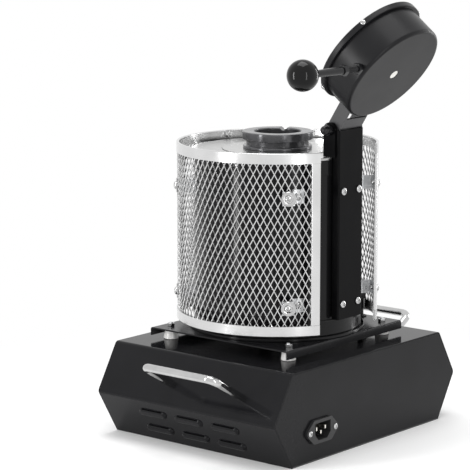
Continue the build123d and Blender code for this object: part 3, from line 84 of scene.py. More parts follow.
@dataclass(frozen=True)
class Finish:
    """One surface finish and the recipe for its material.

    Sizes of grain and wear patches are in millimetres.
    """

    name: str
    colour: Triple
    metallic: float = 0.0
    roughness: float = 0.4
    spread: float = 0.06
    shade: float = 0.12
    patch: float = 35.0
    grain: Grain = Grain.SPECKLE
    grain_size: float = 0.6
    relief: float = 0.02
    coat: float = 0.0
    coat_roughness: float = 0.05
    specular: float = 0.5
    sheen: float = 0.0
    centre: Triple = (0.0, FURNACE_Y, 0.0)

    def _grain_output(self, nodes: bpy.types.Nodes, links: bpy.types.NodeLinks) -> bpy.types.NodeSocket:
        """Adds the fine relief's texture.

        Args:
            nodes: The material's nodes.
            links: The material's links.

        Returns:
            The socket that carries the relief's height.
        """
        coords = nodes.new("ShaderNodeTexCoord")
        mapping = nodes.new("ShaderNodeMapping")
        mapping.inputs["Location"].default_value = [-c * MM for c in self.centre]
        links.new(coords.outputs["Object"], mapping.inputs["Vector"])
        fine = nodes.new("ShaderNodeTexNoise")
        fine.inputs["Scale"].default_value = 1.0 / (self.grain_size * MM)
        fine.inputs["Detail"].default_value = 3.0
        if self.grain is Grain.BRUSHED_UP:
            stretch = nodes.new("ShaderNodeVectorMath")
            stretch.operation = "MULTIPLY"
            stretch.inputs[1].default_value = (1.0, 1.0, 0.04)
            links.new(mapping.outputs["Vector"], stretch.inputs[0])
            links.new(stretch.outputs["Vector"], fine.inputs["Vector"])
            return fine.outputs["Fac"]
        if self.grain in (Grain.TURNED, Grain.BRUSHED_ROUND):
            split = nodes.new("ShaderNodeSeparateXYZ")
            links.new(mapping.outputs["Vector"], split.inputs["Vector"])
            square_x = nodes.new("ShaderNodeMath")
            square_x.operation = "MULTIPLY"
            square_y = nodes.new("ShaderNodeMath")
            square_y.operation = "MULTIPLY"
            for axis, node in (("X", square_x), ("Y", square_y)):
                links.new(split.outputs[axis], node.inputs[0])
                links.new(split.outputs[axis], node.inputs[1])
            total = nodes.new("ShaderNodeMath")
            links.new(square_x.outputs[0], total.inputs[0])
            links.new(square_y.outputs[0], total.inputs[1])
            radius = nodes.new("ShaderNodeMath")
            radius.operation = "SQRT"
            links.new(total.outputs[0], radius.inputs[0])
            rings = nodes.new("ShaderNodeCombineXYZ")
            links.new(radius.outputs[0], rings.inputs["X"])
            links.new(split.outputs["Z"], rings.inputs["Z"])
            links.new(rings.outputs["Vector"], fine.inputs["Vector"])
            return fine.outputs["Fac"]
        links.new(mapping.outputs["Vector"], fine.inputs["Vector"])
        if self.grain is Grain.POROUS:
            pores = nodes.new("ShaderNodeTexVoronoi")
            pores.inputs["Scale"].default_value = 0.6 / (self.grain_size * MM)
            links.new(mapping.outputs["Vector"], pores.inputs["Vector"])
            blend = nodes.new("ShaderNodeMath")
            blend.operation = "MULTIPLY"
            links.new(pores.outputs["Distance"], blend.inputs[0])
            links.new(fine.outputs["Fac"], blend.inputs[1])
            return blend.outputs[0]
        if self.grain is Grain.FIBRE:
            fine.inputs["Distortion"].default_value = 2.5
            fine.inputs["Detail"].default_value = 6.0
        return fine.outputs["Fac"]

    def make(self) -> bpy.types.Material:
        """Builds the material.

        Returns:
            A material whose colour and roughness wander in patches, over a fine relief.
        """
        material = bpy.data.materials.new(self.name)
        material.use_nodes = True
        nodes, links = material.node_tree.nodes, material.node_tree.links
        shader = nodes["Principled BSDF"]
        shader.inputs["Metallic"].default_value = self.metallic
        shader.inputs["Coat Weight"].default_value = self.coat
        shader.inputs["Coat Roughness"].default_value = self.coat_roughness
        shader.inputs["Specular IOR Level"].default_value = self.specular
        shader.inputs["Sheen Weight"].default_value = self.sheen
        coords = nodes.new("ShaderNodeTexCoord")
        patches = nodes.new("ShaderNodeTexNoise")
        patches.inputs["Scale"].default_value = 1.0 / (self.patch * MM)
        patches.inputs["Detail"].default_value = 5.0
        links.new(coords.outputs["Object"], patches.inputs["Vector"])
        ramp = nodes.new("ShaderNodeValToRGB")
        ramp.color_ramp.elements[0].position = 0.3
        ramp.color_ramp.elements[1].position = 0.7
        low, high = 1.0 - self.shade, 1.0 + self.shade
        ramp.color_ramp.elements[0].color = (*[min(1.0, c * low) for c in self.colour], 1.0)
        ramp.color_ramp.elements[1].color = (*[min(1.0, c * high) for c in self.colour], 1.0)
        links.new(patches.outputs["Fac"], ramp.inputs["Fac"])
        links.new(ramp.outputs["Color"], shader.inputs["Base Color"])
        wander = nodes.new("ShaderNodeMapRange")
        wander.inputs["From Min"].default_value = 0.3
        wander.inputs["From Max"].default_value = 0.7
        wander.inputs["To Min"].default_value = max(0.02, self.roughness - self.spread)
        wander.inputs["To Max"].default_value = min(1.0, self.roughness + self.spread)
        links.new(patches.outputs["Fac"], wander.inputs["Value"])
        links.new(wander.outputs["Result"], shader.inputs["Roughness"])
        bump = nodes.new("ShaderNodeBump")
        bump.inputs["Strength"].default_value = 1.0
        bump.inputs["Distance"].default_value = self.relief * MM
        links.new(self._grain_output(nodes, links), bump.inputs["Height"])
        links.new(bump.outputs["Normal"], shader.inputs["Normal"])
        return material


FINISHES: dict[str, Finish] = {
    "gloss_black": Finish(
        "stoved black gloss", (0.009, 0.009, 0.01), roughness=0.09, spread=0.02, shade=0.1,
        grain=Grain.PEEL, grain_size=2.2, relief=0.002, specular=0.12,
    ),
    "dark_sheet": Finish(
        "dark floor sheet", (0.03, 0.03, 0.032), roughness=0.5, grain=Grain.PEEL, grain_size=1.0
    ),
    "satin_black": Finish(
        "satin black paint", (0.009, 0.009, 0.01), roughness=0.22, spread=0.04,
        grain=Grain.PEEL, grain_size=1.4, relief=0.006, specular=0.16,
    ),
    "bright_steel": Finish(
        "bright plated steel", (0.52, 0.52, 0.52), metallic=1.0, roughness=0.13, spread=0.04,
        shade=0.05, patch=8.0, grain_size=0.3, relief=0.002,
    ),
    "zinc_steel": Finish(
        "zinc plate", (0.62, 0.63, 0.64), metallic=1.0, roughness=0.34, spread=0.08,
        patch=6.0, grain_size=0.3, relief=0.006,
    ),
    "black_plastic": Finish(
        "spark-textured black plastic", (0.02, 0.02, 0.021), roughness=0.42, spread=0.05,
        grain_size=0.35, relief=0.02, specular=0.45,
    ),
    "black_gloss_plastic": Finish(
        "glossy black plastic", (0.014, 0.014, 0.015), roughness=0.12, spread=0.03,
        grain=Grain.PEEL, grain_size=1.6, relief=0.003,
    ),
    "blade_metal": Finish(
        "plated contact metal", (0.8, 0.78, 0.72), metallic=1.0, roughness=0.2, patch=4.0,
        grain_size=0.2, relief=0.002,
    ),
    "smoked_window": Finish(
        "smoked window", (0.012, 0.012, 0.016), roughness=0.06, spread=0.02, grain_size=3.0,
        relief=0.001, coat=0.6, coat_roughness=0.03,
    ),
    "grey_key": Finish("grey key cap", (0.3, 0.3, 0.31), roughness=0.45, grain_size=0.3, relief=0.01),
    "plain_aluminium": Finish(
        "extruded aluminium", (0.74, 0.75, 0.76), metallic=1.0, roughness=0.32, spread=0.07,
        grain=Grain.BRUSHED_UP, grain_size=0.3, relief=0.01,
    ),
    "cream_plastic": Finish(
        "cream moulded case", (0.78, 0.74, 0.64), roughness=0.4, shade=0.05, grain_size=0.5, relief=0.01
    ),
    "white_ceramic": Finish(
        "glazed porcelain", (0.9, 0.89, 0.87), roughness=0.22, spread=0.06, shade=0.05, patch=9.0,
        grain=Grain.PEEL, grain_size=1.5, relief=0.01, coat=0.25,
    ),
    "body_black": Finish(
        "black enamel", (0.006, 0.006, 0.0065), roughness=0.16, spread=0.03, grain=Grain.PEEL,
        grain_size=1.8, relief=0.004, specular=0.2,
    ),
    "post_black": Finish(
        "black enamel on channel", (0.003, 0.003, 0.0034), roughness=0.22, spread=0.04,
        grain=Grain.PEEL, grain_size=1.5, relief=0.005, specular=0.06,
    ),
    "black_oxide": Finish(
        "oiled black oxide", (0.008, 0.008, 0.009), roughness=0.2, spread=0.05, patch=5.0,
        grain_size=0.3, relief=0.003, specular=0.3,
    ),
    "pale_steel": Finish(
        "lapped stainless sheet", (0.46, 0.46, 0.455), metallic=1.0, roughness=0.2, spread=0.04,
        shade=0.07, grain=Grain.TURNED, grain_size=0.7, relief=0.004,
    ),
    "fire_brick": Finish(
        "light fire brick", (0.8, 0.72, 0.58), roughness=0.92, shade=0.14, patch=12.0,
        grain=Grain.POROUS, grain_size=1.0, relief=0.35,
    ),
    "heater_alloy": Finish(
        "oxidised heating alloy", (0.32, 0.31, 0.3), metallic=0.8, roughness=0.5,
        grain=Grain.TURNED, grain_size=0.8, relief=0.05,
    ),
    "ceramic_fibre": Finish(
        "ceramic fibre", (0.86, 0.85, 0.81), roughness=1.0, spread=0.0, shade=0.08, patch=14.0,
        grain=Grain.FIBRE, grain_size=1.2, relief=0.5, sheen=0.2, specular=0.1,
    ),
    "black_rubber": Finish(
        "black rubber", (0.018, 0.018, 0.018), roughness=0.6, grain_size=0.5, relief=0.02
    ),
    "graphite": Finish(
        "turned graphite", (0.1, 0.1, 0.105), metallic=0.6, roughness=0.22, spread=0.05, shade=0.2,
        patch=16.0, grain=Grain.TURNED, grain_size=0.6, relief=0.006, specular=0.6,
    ),
    "bright_mesh": Finish(
        "bright expanded steel", (0.64, 0.64, 0.64), metallic=1.0, roughness=0.26, spread=0.06,
        shade=0.06, patch=20.0, grain_size=0.4, relief=0.004,
    ),
    "bright_strip": Finish(
        "bright rolled strip", (0.68, 0.68, 0.68), metallic=1.0, roughness=0.2, spread=0.05,
        shade=0.04, patch=30.0, grain=Grain.BRUSHED_ROUND, grain_size=0.5, relief=0.003,
    ),
    "lid_black": Finish(
        "satin lid paint", (0.008, 0.008, 0.009), roughness=0.33, spread=0.05,
        grain=Grain.PEEL, grain_size=1.2, relief=0.006, specular=0.2,
    ),
    "grey_arm": Finish(
        "grey satin paint", (0.032, 0.032, 0.034), roughness=0.4, spread=0.05,
        grain=Grain.PEEL, grain_size=1.2, relief=0.008,
    ),
    "knob_plastic": Finish(
        "polished black knob", (0.004, 0.004, 0.004), roughness=0.1, spread=0.02,
        grain=Grain.PEEL, grain_size=4.0, relief=0.002, specular=0.22,
    ),
}
MARK_WHITE = Finish("printed white mark", (0.72, 0.72, 0.72), roughness=0.55, grain_size=0.2, relief=0.002)
UNLIT_RED = Finish(
    "unlit display segment", (0.09, 0.018, 0.016), roughness=0.3, grain_size=0.4, relief=0.001
)


# ---- bench tools ----
def pick(*pieces: bpy.types.Object) -> None:
    """Selects these objects and no others, with the first one active."""
    if bpy.context.mode != "OBJECT":
        bpy.ops.object.mode_set(mode="OBJECT")
    bpy.ops.object.select_all(action="DESELECT")
    for piece in pieces:
        piece.select_set(True)
    if pieces:
        bpy.context.view_layer.objects.active = pieces[0]


@contextmanager
def editing(piece: bpy.types.Object, kind: str = "VERT") -> Iterator[None]:
    """Opens a piece in edit mode with everything deselected.

    Args:
        piece: The mesh object.
        kind: VERT, EDGE or FACE, what is picked.
    """
    pick(piece)
    bpy.ops.object.mode_set(mode="EDIT")
    bpy.ops.mesh.select_mode(type=kind)
    bpy.ops.mesh.select_all(action="DESELECT")
    try:
        yield
    finally:
        bpy.ops.object.mode_set(mode="OBJECT")


def take_faces(piece: bpy.types.Object, keep: Callable[[Vector, Vector], bool]) -> int:
    """Selects faces by place in edit mode.

    Args:
        piece: The object being edited.
        keep: Says from a face's middle and normal, in millimetres, if it is taken.

    Returns:
        How many faces were selected.
    """
    mesh = bmesh.from_edit_mesh(piece.data)
    count = 0
    for face in mesh.faces:
        wanted = keep(face.calc_center_median() / MM, face.normal)
        face.select_set(wanted)
        count += wanted
    bmesh.update_edit_mesh(piece.data)
    return count


def take_verts(piece: bpy.types.Object, keep: Callable[[Vector], bool]) -> int:
    """Selects vertices by place in edit mode.

    Args:
        piece: The object being edited.
        keep: Says from a vertex's place, in millimetres, if it is taken.

    Returns:
        How many vertices were selected.
    """
    mesh = bmesh.from_edit_mesh(piece.data)
    count = 0
    for vert in mesh.verts:
        wanted = keep(vert.co / MM)
        vert.select_set(wanted)
        count += wanted
    mesh.select_flush_mode()
    bmesh.update_edit_mesh(piece.data)
    return count


def face_outwards(piece: bpy.types.Object, merge: float = 0.002) -> None:
    """Merges doubled vertices of a closed mesh and turns its faces outwards."""
    with editing(piece):
        bpy.ops.mesh.select_all(action="SELECT")
        bpy.ops.mesh.remove_doubles(threshold=merge * MM)
        bpy.ops.mesh.normals_make_consistent(inside=False)


def apply(piece: bpy.types.Object, kind: str, **settings: object) -> None:
    """Adds a modifier to a piece and applies it.

    Args:
        piece: The mesh object.
        kind: The modifier's type.
        **settings: The modifier's properties.
    """
    modifier = piece.modifiers.new(kind.title(), kind)
    for key, value in settings.items():
        setattr(modifier, key, value)
    pick(piece)
    bpy.ops.object.modifier_apply(modifier=modifier.name)


def soften(piece: bpy.types.Object, width: float, segments: int = 2, angle: float = 32.0) -> None:
    """Rounds a piece's sharp edges and shades the rest smooth.

    Args:
        piece: The mesh object.
        width: The rounding's width in millimetres; 0 leaves the edges.
        segments: Faces across the rounding.
        angle: Edges sharper than this many degrees are rounded.
    """
    if width > 0:
        apply(
            piece, "BEVEL", width=width * MM, segments=segments, limit_method="ANGLE",
            angle_limit=math.radians(angle), miter_outer="MITER_ARC",
        )
    pick(piece)
    bpy.ops.object.shade_smooth_by_angle(angle=math.radians(38.0))
    apply(piece, "WEIGHTED_NORMAL", keep_sharp=True, weight=50)


def cut(piece: bpy.types.Object, tool: bpy.types.Object, operation: str = "DIFFERENCE") -> None:
    """Cuts a piece with another object, which is used up."""
    apply(piece, "BOOLEAN", operation=operation, object=tool, solver="EXACT")
    bpy.data.objects.remove(tool, do_unlink=True)


def settle(piece: bpy.types.Object, place: Matrix) -> None:
    """Moves a piece to its place and puts that place into its mesh."""
    piece.matrix_world = place
    bpy.context.view_layer.update()
    pick(piece)
    bpy.ops.object.transform_apply(location=True, rotation=True, scale=True)


def spare(piece: bpy.types.Object, name: str) -> bpy.types.Object:
    """Copies a piece together with its mesh.

    Args:
        piece: The object to copy.
        name: The copy's name.

    Returns:
        The copy, free of any parent.
    """
    copy = piece.copy()
    copy.data = piece.data.copy()
    copy.name = name
    copy.parent = None
    copy.matrix_world = Matrix.Identity(4)
    copy.hide_render = False
    copy.hide_viewport = False
    bpy.context.scene.collection.objects.link(copy)
    return copy


def join(name: str, pieces: Sequence[bpy.types.Object]) -> bpy.types.Object:
    """Joins pieces into one.

    Args:
        name: The joined piece's name.
        pieces: What is joined.

    Returns:
        The joined piece.
    """
    pick(*pieces)
    if len(pieces) > 1:
        bpy.ops.object.join()
    pieces[0].name = name
    return pieces[0]


def repeat(name: str, pattern: bpy.types.Object, places: Sequence[Matrix]) -> bpy.types.Object:
    """Puts a copy of a pattern piece at each place, joins them and drops the pattern.

    Args:
        name: The joined piece's name.
        pattern: The piece modelled once, at the origin.
        places: Where the copies go.

    Returns:
        The joined piece.
    """
    copies = []
    for index, place in enumerate(places):
        copy = spare(pattern, f"{name}_{index}")
        settle(copy, place)
        copies.append(copy)
    bpy.data.objects.remove(pattern, do_unlink=True)
    return join(name, copies)


def chain(name: str, points: Sequence[Triple]) -> bpy.types.Object:
    """Draws a chain of edges by extruding one vertex from point to point.

    Args:
        name: The new object's name.
        points: The chain's points in millimetres.

    Returns:
        A mesh object that holds the chain.
    """
    pick()
    bpy.ops.mesh.primitive_plane_add(size=MM)
    piece = bpy.context.object
    piece.name = name
    with editing(piece):
        bpy.ops.mesh.select_all(action="SELECT")
        bpy.ops.mesh.merge(type="CENTER")
        bpy.ops.transform.translate(value=Vector(points[0]) * MM)
        for here, there in zip(points, points[1:]):
            step = (Vector(there) - Vector(here)) * MM
            bpy.ops.mesh.extrude_region_move(TRANSFORM_OT_translate={"value": step})
    return piece


def turned(
    name: str, profile: Profile, steps: int = 96, span: float = 360.0, start: float = 0.0
) -> bpy.types.Object:
    """Turns a closed profile round the Z axis.

    Args:
        name: The new object's name.
        profile: Radius and height of each corner, in millimetres, in order.
        steps: Faces round the whole turn.
        span: How far it is turned, in degrees.
        start: The azimuth at which it starts, in degrees.

    Returns:
        A closed solid of revolution on the Z axis.
    """
    a = math.radians(start)
    line = [(r * math.cos(a), r * math.sin(a), z) for r, z in profile]
    whole = span >= 360.0
    if profile[0][0] > 0.0 or profile[-1][0] > 0.0:
        line.append(line[0])
    piece = chain(name, line)
    with editing(piece):
        bpy.ops.mesh.select_all(action="SELECT")
        bpy.ops.mesh.remove_doubles(threshold=0.0005 * MM)
        if not whole:
            bpy.ops.mesh.edge_face_add()
        bpy.ops.mesh.select_all(action="SELECT")
        bpy.ops.mesh.spin(
            steps=steps, angle=-math.radians(span), center=(0, 0, 0), axis=(0, 0, 1)
        )
    face_outwards(piece, 0.001)
    return piece


def arc(cx: float, cz: float, radius: float, start: float, end: float, steps: int) -> Profile:
    """Points on an arc, from start to end in degrees, both ends included."""
    turns = [math.radians(start + (end - start) * i / steps) for i in range(steps + 1)]
    return [(cx + radius * math.cos(t), cz + radius * math.sin(t)) for t in turns]


def bend(
    before: tuple[float, float],
    corner: tuple[float, float],
    after: tuple[float, float],
    radius: float,
    steps: int = 6,
) -> Profile:
    """Rounds a drawn corner.

    Args:
        before: The point before the corner.
        corner: The corner itself.
        after: The point after it.
        radius: The bend's radius.
        steps: Edges along the bend.

    Returns:
        The points that stand in for the corner.
    """
    here = Vector(corner)
    back, forth = (Vector(before) - here).normalized(), (Vector(after) - here).normalized()
    half = back.angle(forth) / 2
    reach = radius / math.tan(half)
    middle = here + (back + forth).normalized() * (radius / math.sin(half))
    first, last = here + back * reach - middle, here + forth * reach - middle
    sweep = first.angle_signed(last)
    points = []
    for i in range(steps + 1):
        turn = Matrix.Rotation(-sweep * i / steps, 2)
        points.append(tuple(middle + turn @ first))
    return points


def prism(name: str, outline: Profile, height: float) -> bpy.types.Object:
    """Raises a closed outline in X and Y to a height, from Z = 0.

    Args:
        name: The new object's name.
        outline: The outline's corners in millimetres.
        height: How high it is raised, in millimetres.

    Returns:
        The closed prism.
    """
    line = [(x, y, 0.0) for x, y in outline]
    piece = chain(name, [*line, line[0]])
    with editing(piece):
        bpy.ops.mesh.select_all(action="SELECT")
        bpy.ops.mesh.remove_doubles(threshold=0.0005 * MM)
        bpy.ops.mesh.edge_face_add()
        bpy.ops.mesh.extrude_region_move(TRANSFORM_OT_translate={"value": (0, 0, height * MM)})
    face_outwards(piece, 0.001)
    return piece


def slab(name: str, low: Triple, high: Triple) -> bpy.types.Object:
    """A plain block between two corners, used as a cutter or a start.

    Args:
        name: The new object's name.
        low: Its lowest corner in millimetres.
        high: Its highest corner in millimetres.

    Returns:
        The block, with its place in its mesh.
    """
    middle = (Vector(low) + Vector(high)) / 2 * MM
    size = (Vector(high) - Vector(low)) * MM
    pick()
    bpy.ops.mesh.primitive_cube_add(size=1.0, location=middle, scale=size)
    piece = bpy.context.object
    piece.name = name
    pick(piece)
    bpy.ops.object.transform_apply(location=True, rotation=True, scale=True)
    return piece


def polygon(count: int, radius: float, turn: float = 0.0) -> Profile:
    """Corners of a regular polygon, turned by some degrees."""
    turns = [math.radians(turn + 360.0 * i / count) for i in range(count)]
    return [(radius * math.cos(t), radius * math.sin(t)) for t in turns]


def at(x: float, y: float, z: float) -> Matrix:
    """A place in the row frame, in millimetres, unturned."""
    return Matrix.Translation(Vector((x, y, z)) * MM)


def facing(place: Triple, out: Triple, along: Triple = (0.0, 0.0, 1.0)) -> Matrix:
    """A place whose local Z points outwards.

    Args:
        place: The point in millimetres.
        out: The direction of local Z.
        along: Roughly where local X points.

    Returns:
        The 4x4 matrix of the place.
    """
    z_axis = Vector(out).normalized()
    y_axis = z_axis.cross(Vector(along)).normalized()
    x_axis = y_axis.cross(z_axis)
    matrix = Matrix((x_axis, y_axis, z_axis)).transposed().to_4x4()
    matrix.translation = Vector(place) * MM
    return matrix


def round_axis(azimuth: float, radius: float, z: float) -> Matrix:
    """A place on a circle round the furnace's axis, local Z outwards and X upwards."""
    a = math.radians(azimuth)
    out = (math.cos(a), math.sin(a), 0.0)
    return facing((radius * out[0], FURNACE_Y + radius * out[1], z), out)


def opened() -> Matrix:
    """The swing that takes a piece drawn with the lid shut to where the open lid has it."""
    hinge = Matrix.Translation(Vector(HINGE) * MM)
    return hinge @ Matrix.Rotation(math.radians(-LID_OPEN), 4, "X") @ hinge.inverted()


class Dresser:
    """Gives pieces their material and body, and hides the imported nodes they stand for."""

    def __init__(self) -> None:
        """Starts with no material made."""
        self._materials: dict[str, bpy.types.Material] = {}

    def material(self, slot: str) -> bpy.types.Material:
        """Gives the material of a record slot, made on first use."""
        if slot not in self._materials:
            self._materials[slot] = FINISHES[slot].make()
        return self._materials[slot]

    def paint(self, piece: bpy.types.Object, material: bpy.types.Material) -> None:
        """Puts one material all over a piece."""
        piece.data.materials.clear()
        piece.data.materials.append(material)

    def seat(self, piece: bpy.types.Object, body: str, slot: str, *nodes: str) -> bpy.types.Object:
        """Finishes a piece and fixes it to its body.

        Args:
            piece: The finished mesh object, at the origin.
            body: The body that it moves with.
            slot: The record's material slot.
            *nodes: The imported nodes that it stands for.

        Returns:
            The same piece.
        """
        self.paint(piece, self.material(slot))
        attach(piece, body)
        if nodes:
            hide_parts(*nodes)
        LOG.info("%s: %d faces on %s", piece.name, len(piece.data.polygons), body)
        return piece

    def refine(self, node: str, body: str, slot: str, width: float, segments: int = 2) -> bpy.types.Object:
        """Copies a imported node, joins its facets and rounds its edges.

        Args:
            node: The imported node.
            body: The body that it moves with.
            slot: The record's material slot.
            width: The edge rounding in millimetres.
            segments: Faces across the rounding.

        Returns:
            The piece that stands for the node.
        """
        piece = spare(frame["nodes"][node], f"{node}_piece")
        with editing(piece):
            bpy.ops.mesh.select_all(action="SELECT")
            bpy.ops.mesh.remove_doubles(threshold=0.002 * MM)
            bpy.ops.mesh.dissolve_limited(angle_limit=math.radians(0.3))
        soften(piece, width, segments)
        return self.seat(piece, body, slot, node)


# ---- fasteners ----
class Recess(Enum):
    """The driver's shape in a screw's head."""

    CROSS = "cross"
    NONE = "none"


@dataclass
class Screw:
    """A screw head, with a collar where it clamps the net, seen from outside.

    All sizes are in millimetres.
    """

    head_r: float
    head_h: float
    collar_r: float = 0.0
    collar_h: float = 0.0
    shank_r: float = 2.0
    shank_l: float = 4.0
    recess: Recess = Recess.CROSS

    def profile(self) -> Profile:
        """Draws half of the screw's section, collar, dome and shank.

        Returns:
            The closed profile from the axis round to the axis.
        """
        base = self.collar_h
        line: Profile = [(0.0, -self.shank_l), (self.shank_r, -self.shank_l), (self.shank_r, 0.0)]
        if self.collar_r > 0:
            rim = self.collar_h * 0.35
            edge = self.collar_r
            line += [(edge - rim, 0.0), (edge, rim), (edge, base - rim), (edge - rim, base)]
            groove = base - 0.25
            line += [(self.head_r + 0.9, base), (self.head_r + 0.5, groove), (self.head_r, groove)]
        else:
            line += [(self.head_r - 0.2, 0.0)]
        wall = base + self.head_h * 0.3
        line += [(self.head_r, base + 0.2), (self.head_r, wall)]
        for i in range(1, 8):
            t = math.radians(90.0 * i / 8)
            line.append((self.head_r * math.cos(t), wall + self.head_h * 0.7 * math.sin(t)))
        line.append((0.0, base + self.head_h))
        return line

    def build(self, name: str) -> bpy.types.Object:
        """Models one screw on the Z axis.

        Args:
            name: The object's name.

        Returns:
            The screw, its head upwards.
        """
        piece = turned(name, self.profile(), steps=32)
        if self.recess is Recess.CROSS:
            top = self.collar_h + self.head_h
            long, wide, deep = self.head_r * 0.62, self.head_r * 0.17, self.head_h * 0.6
            bar = slab("cross_bar", (-long, -wide, top - deep), (long, wide, top + 1))
            with editing(bar, "FACE"):
                take_faces(bar, lambda middle, _n: middle.z < top - deep + 0.1)
                bpy.ops.transform.resize(value=(0.45, 0.6, 1.0))
            other = spare(bar, "cross_bar_b")
            settle(other, Matrix.Rotation(math.pi / 2, 4, "Z"))
            cut(piece, bar)
            cut(piece, other)
        soften(piece, 0.0)
        return piece


@dataclass
class Nut:
    """A six-sided nut with bevelled corners and a plain bore through it."""

    across: float
    height: float
    bore: float

    def build(self, name: str) -> bpy.types.Object:
        """Models one nut standing on Z = 0.

        Args:
            name: The object's name.

        Returns:
            The nut.
        """
        piece = prism(name, polygon(6, self.across / math.sqrt(3), 30.0), self.height)
        cone_r = self.across / math.sqrt(3) * 1.02
        drop = (cone_r - self.across / 2) * 0.6
        inner = self.across / 2 * 0.98
        top = self.height
        cones: Profile = [(0, -1), (inner + 0.2, -1), (inner, 0), (cone_r, drop), (cone_r, top - drop)]
        cones += [(inner, top), (0, top)]
        cut(piece, turned("nut_trim", cones, steps=48), "INTERSECT")
        drill: Profile = [(0, -1), (self.bore, -1), (self.bore, top + 1), (0, top + 1)]
        cut(piece, turned("nut_bore", drill, steps=24))
        soften(piece, 0.12, 1)
        return piece


def threaded(name: str, radius: float, low: float, high: float, pitch: float = 0.7) -> bpy.types.Object:
    """Turns a stud with thread ridges and a chamfered end.

    Args:
        name: The object's name.
        radius: The stud's outer radius in millimetres.
        low: Where it starts on Z.
        high: Where it ends on Z.
        pitch: From ridge to ridge.

    Returns:
        The stud on the Z axis.
    """
    line: Profile = [(0.0, low), (radius * 0.86, low)]
    z = low + pitch / 2
    while z < high - pitch:
        line += [(radius, z), (radius * 0.86, z + pitch / 2)]
        z += pitch
    line += [(radius * 0.86, high - 0.1), (radius * 0.7, high), (0.0, high)]
    piece = turned(name, line, steps=20)
    soften(piece, 0.0)
    return piece


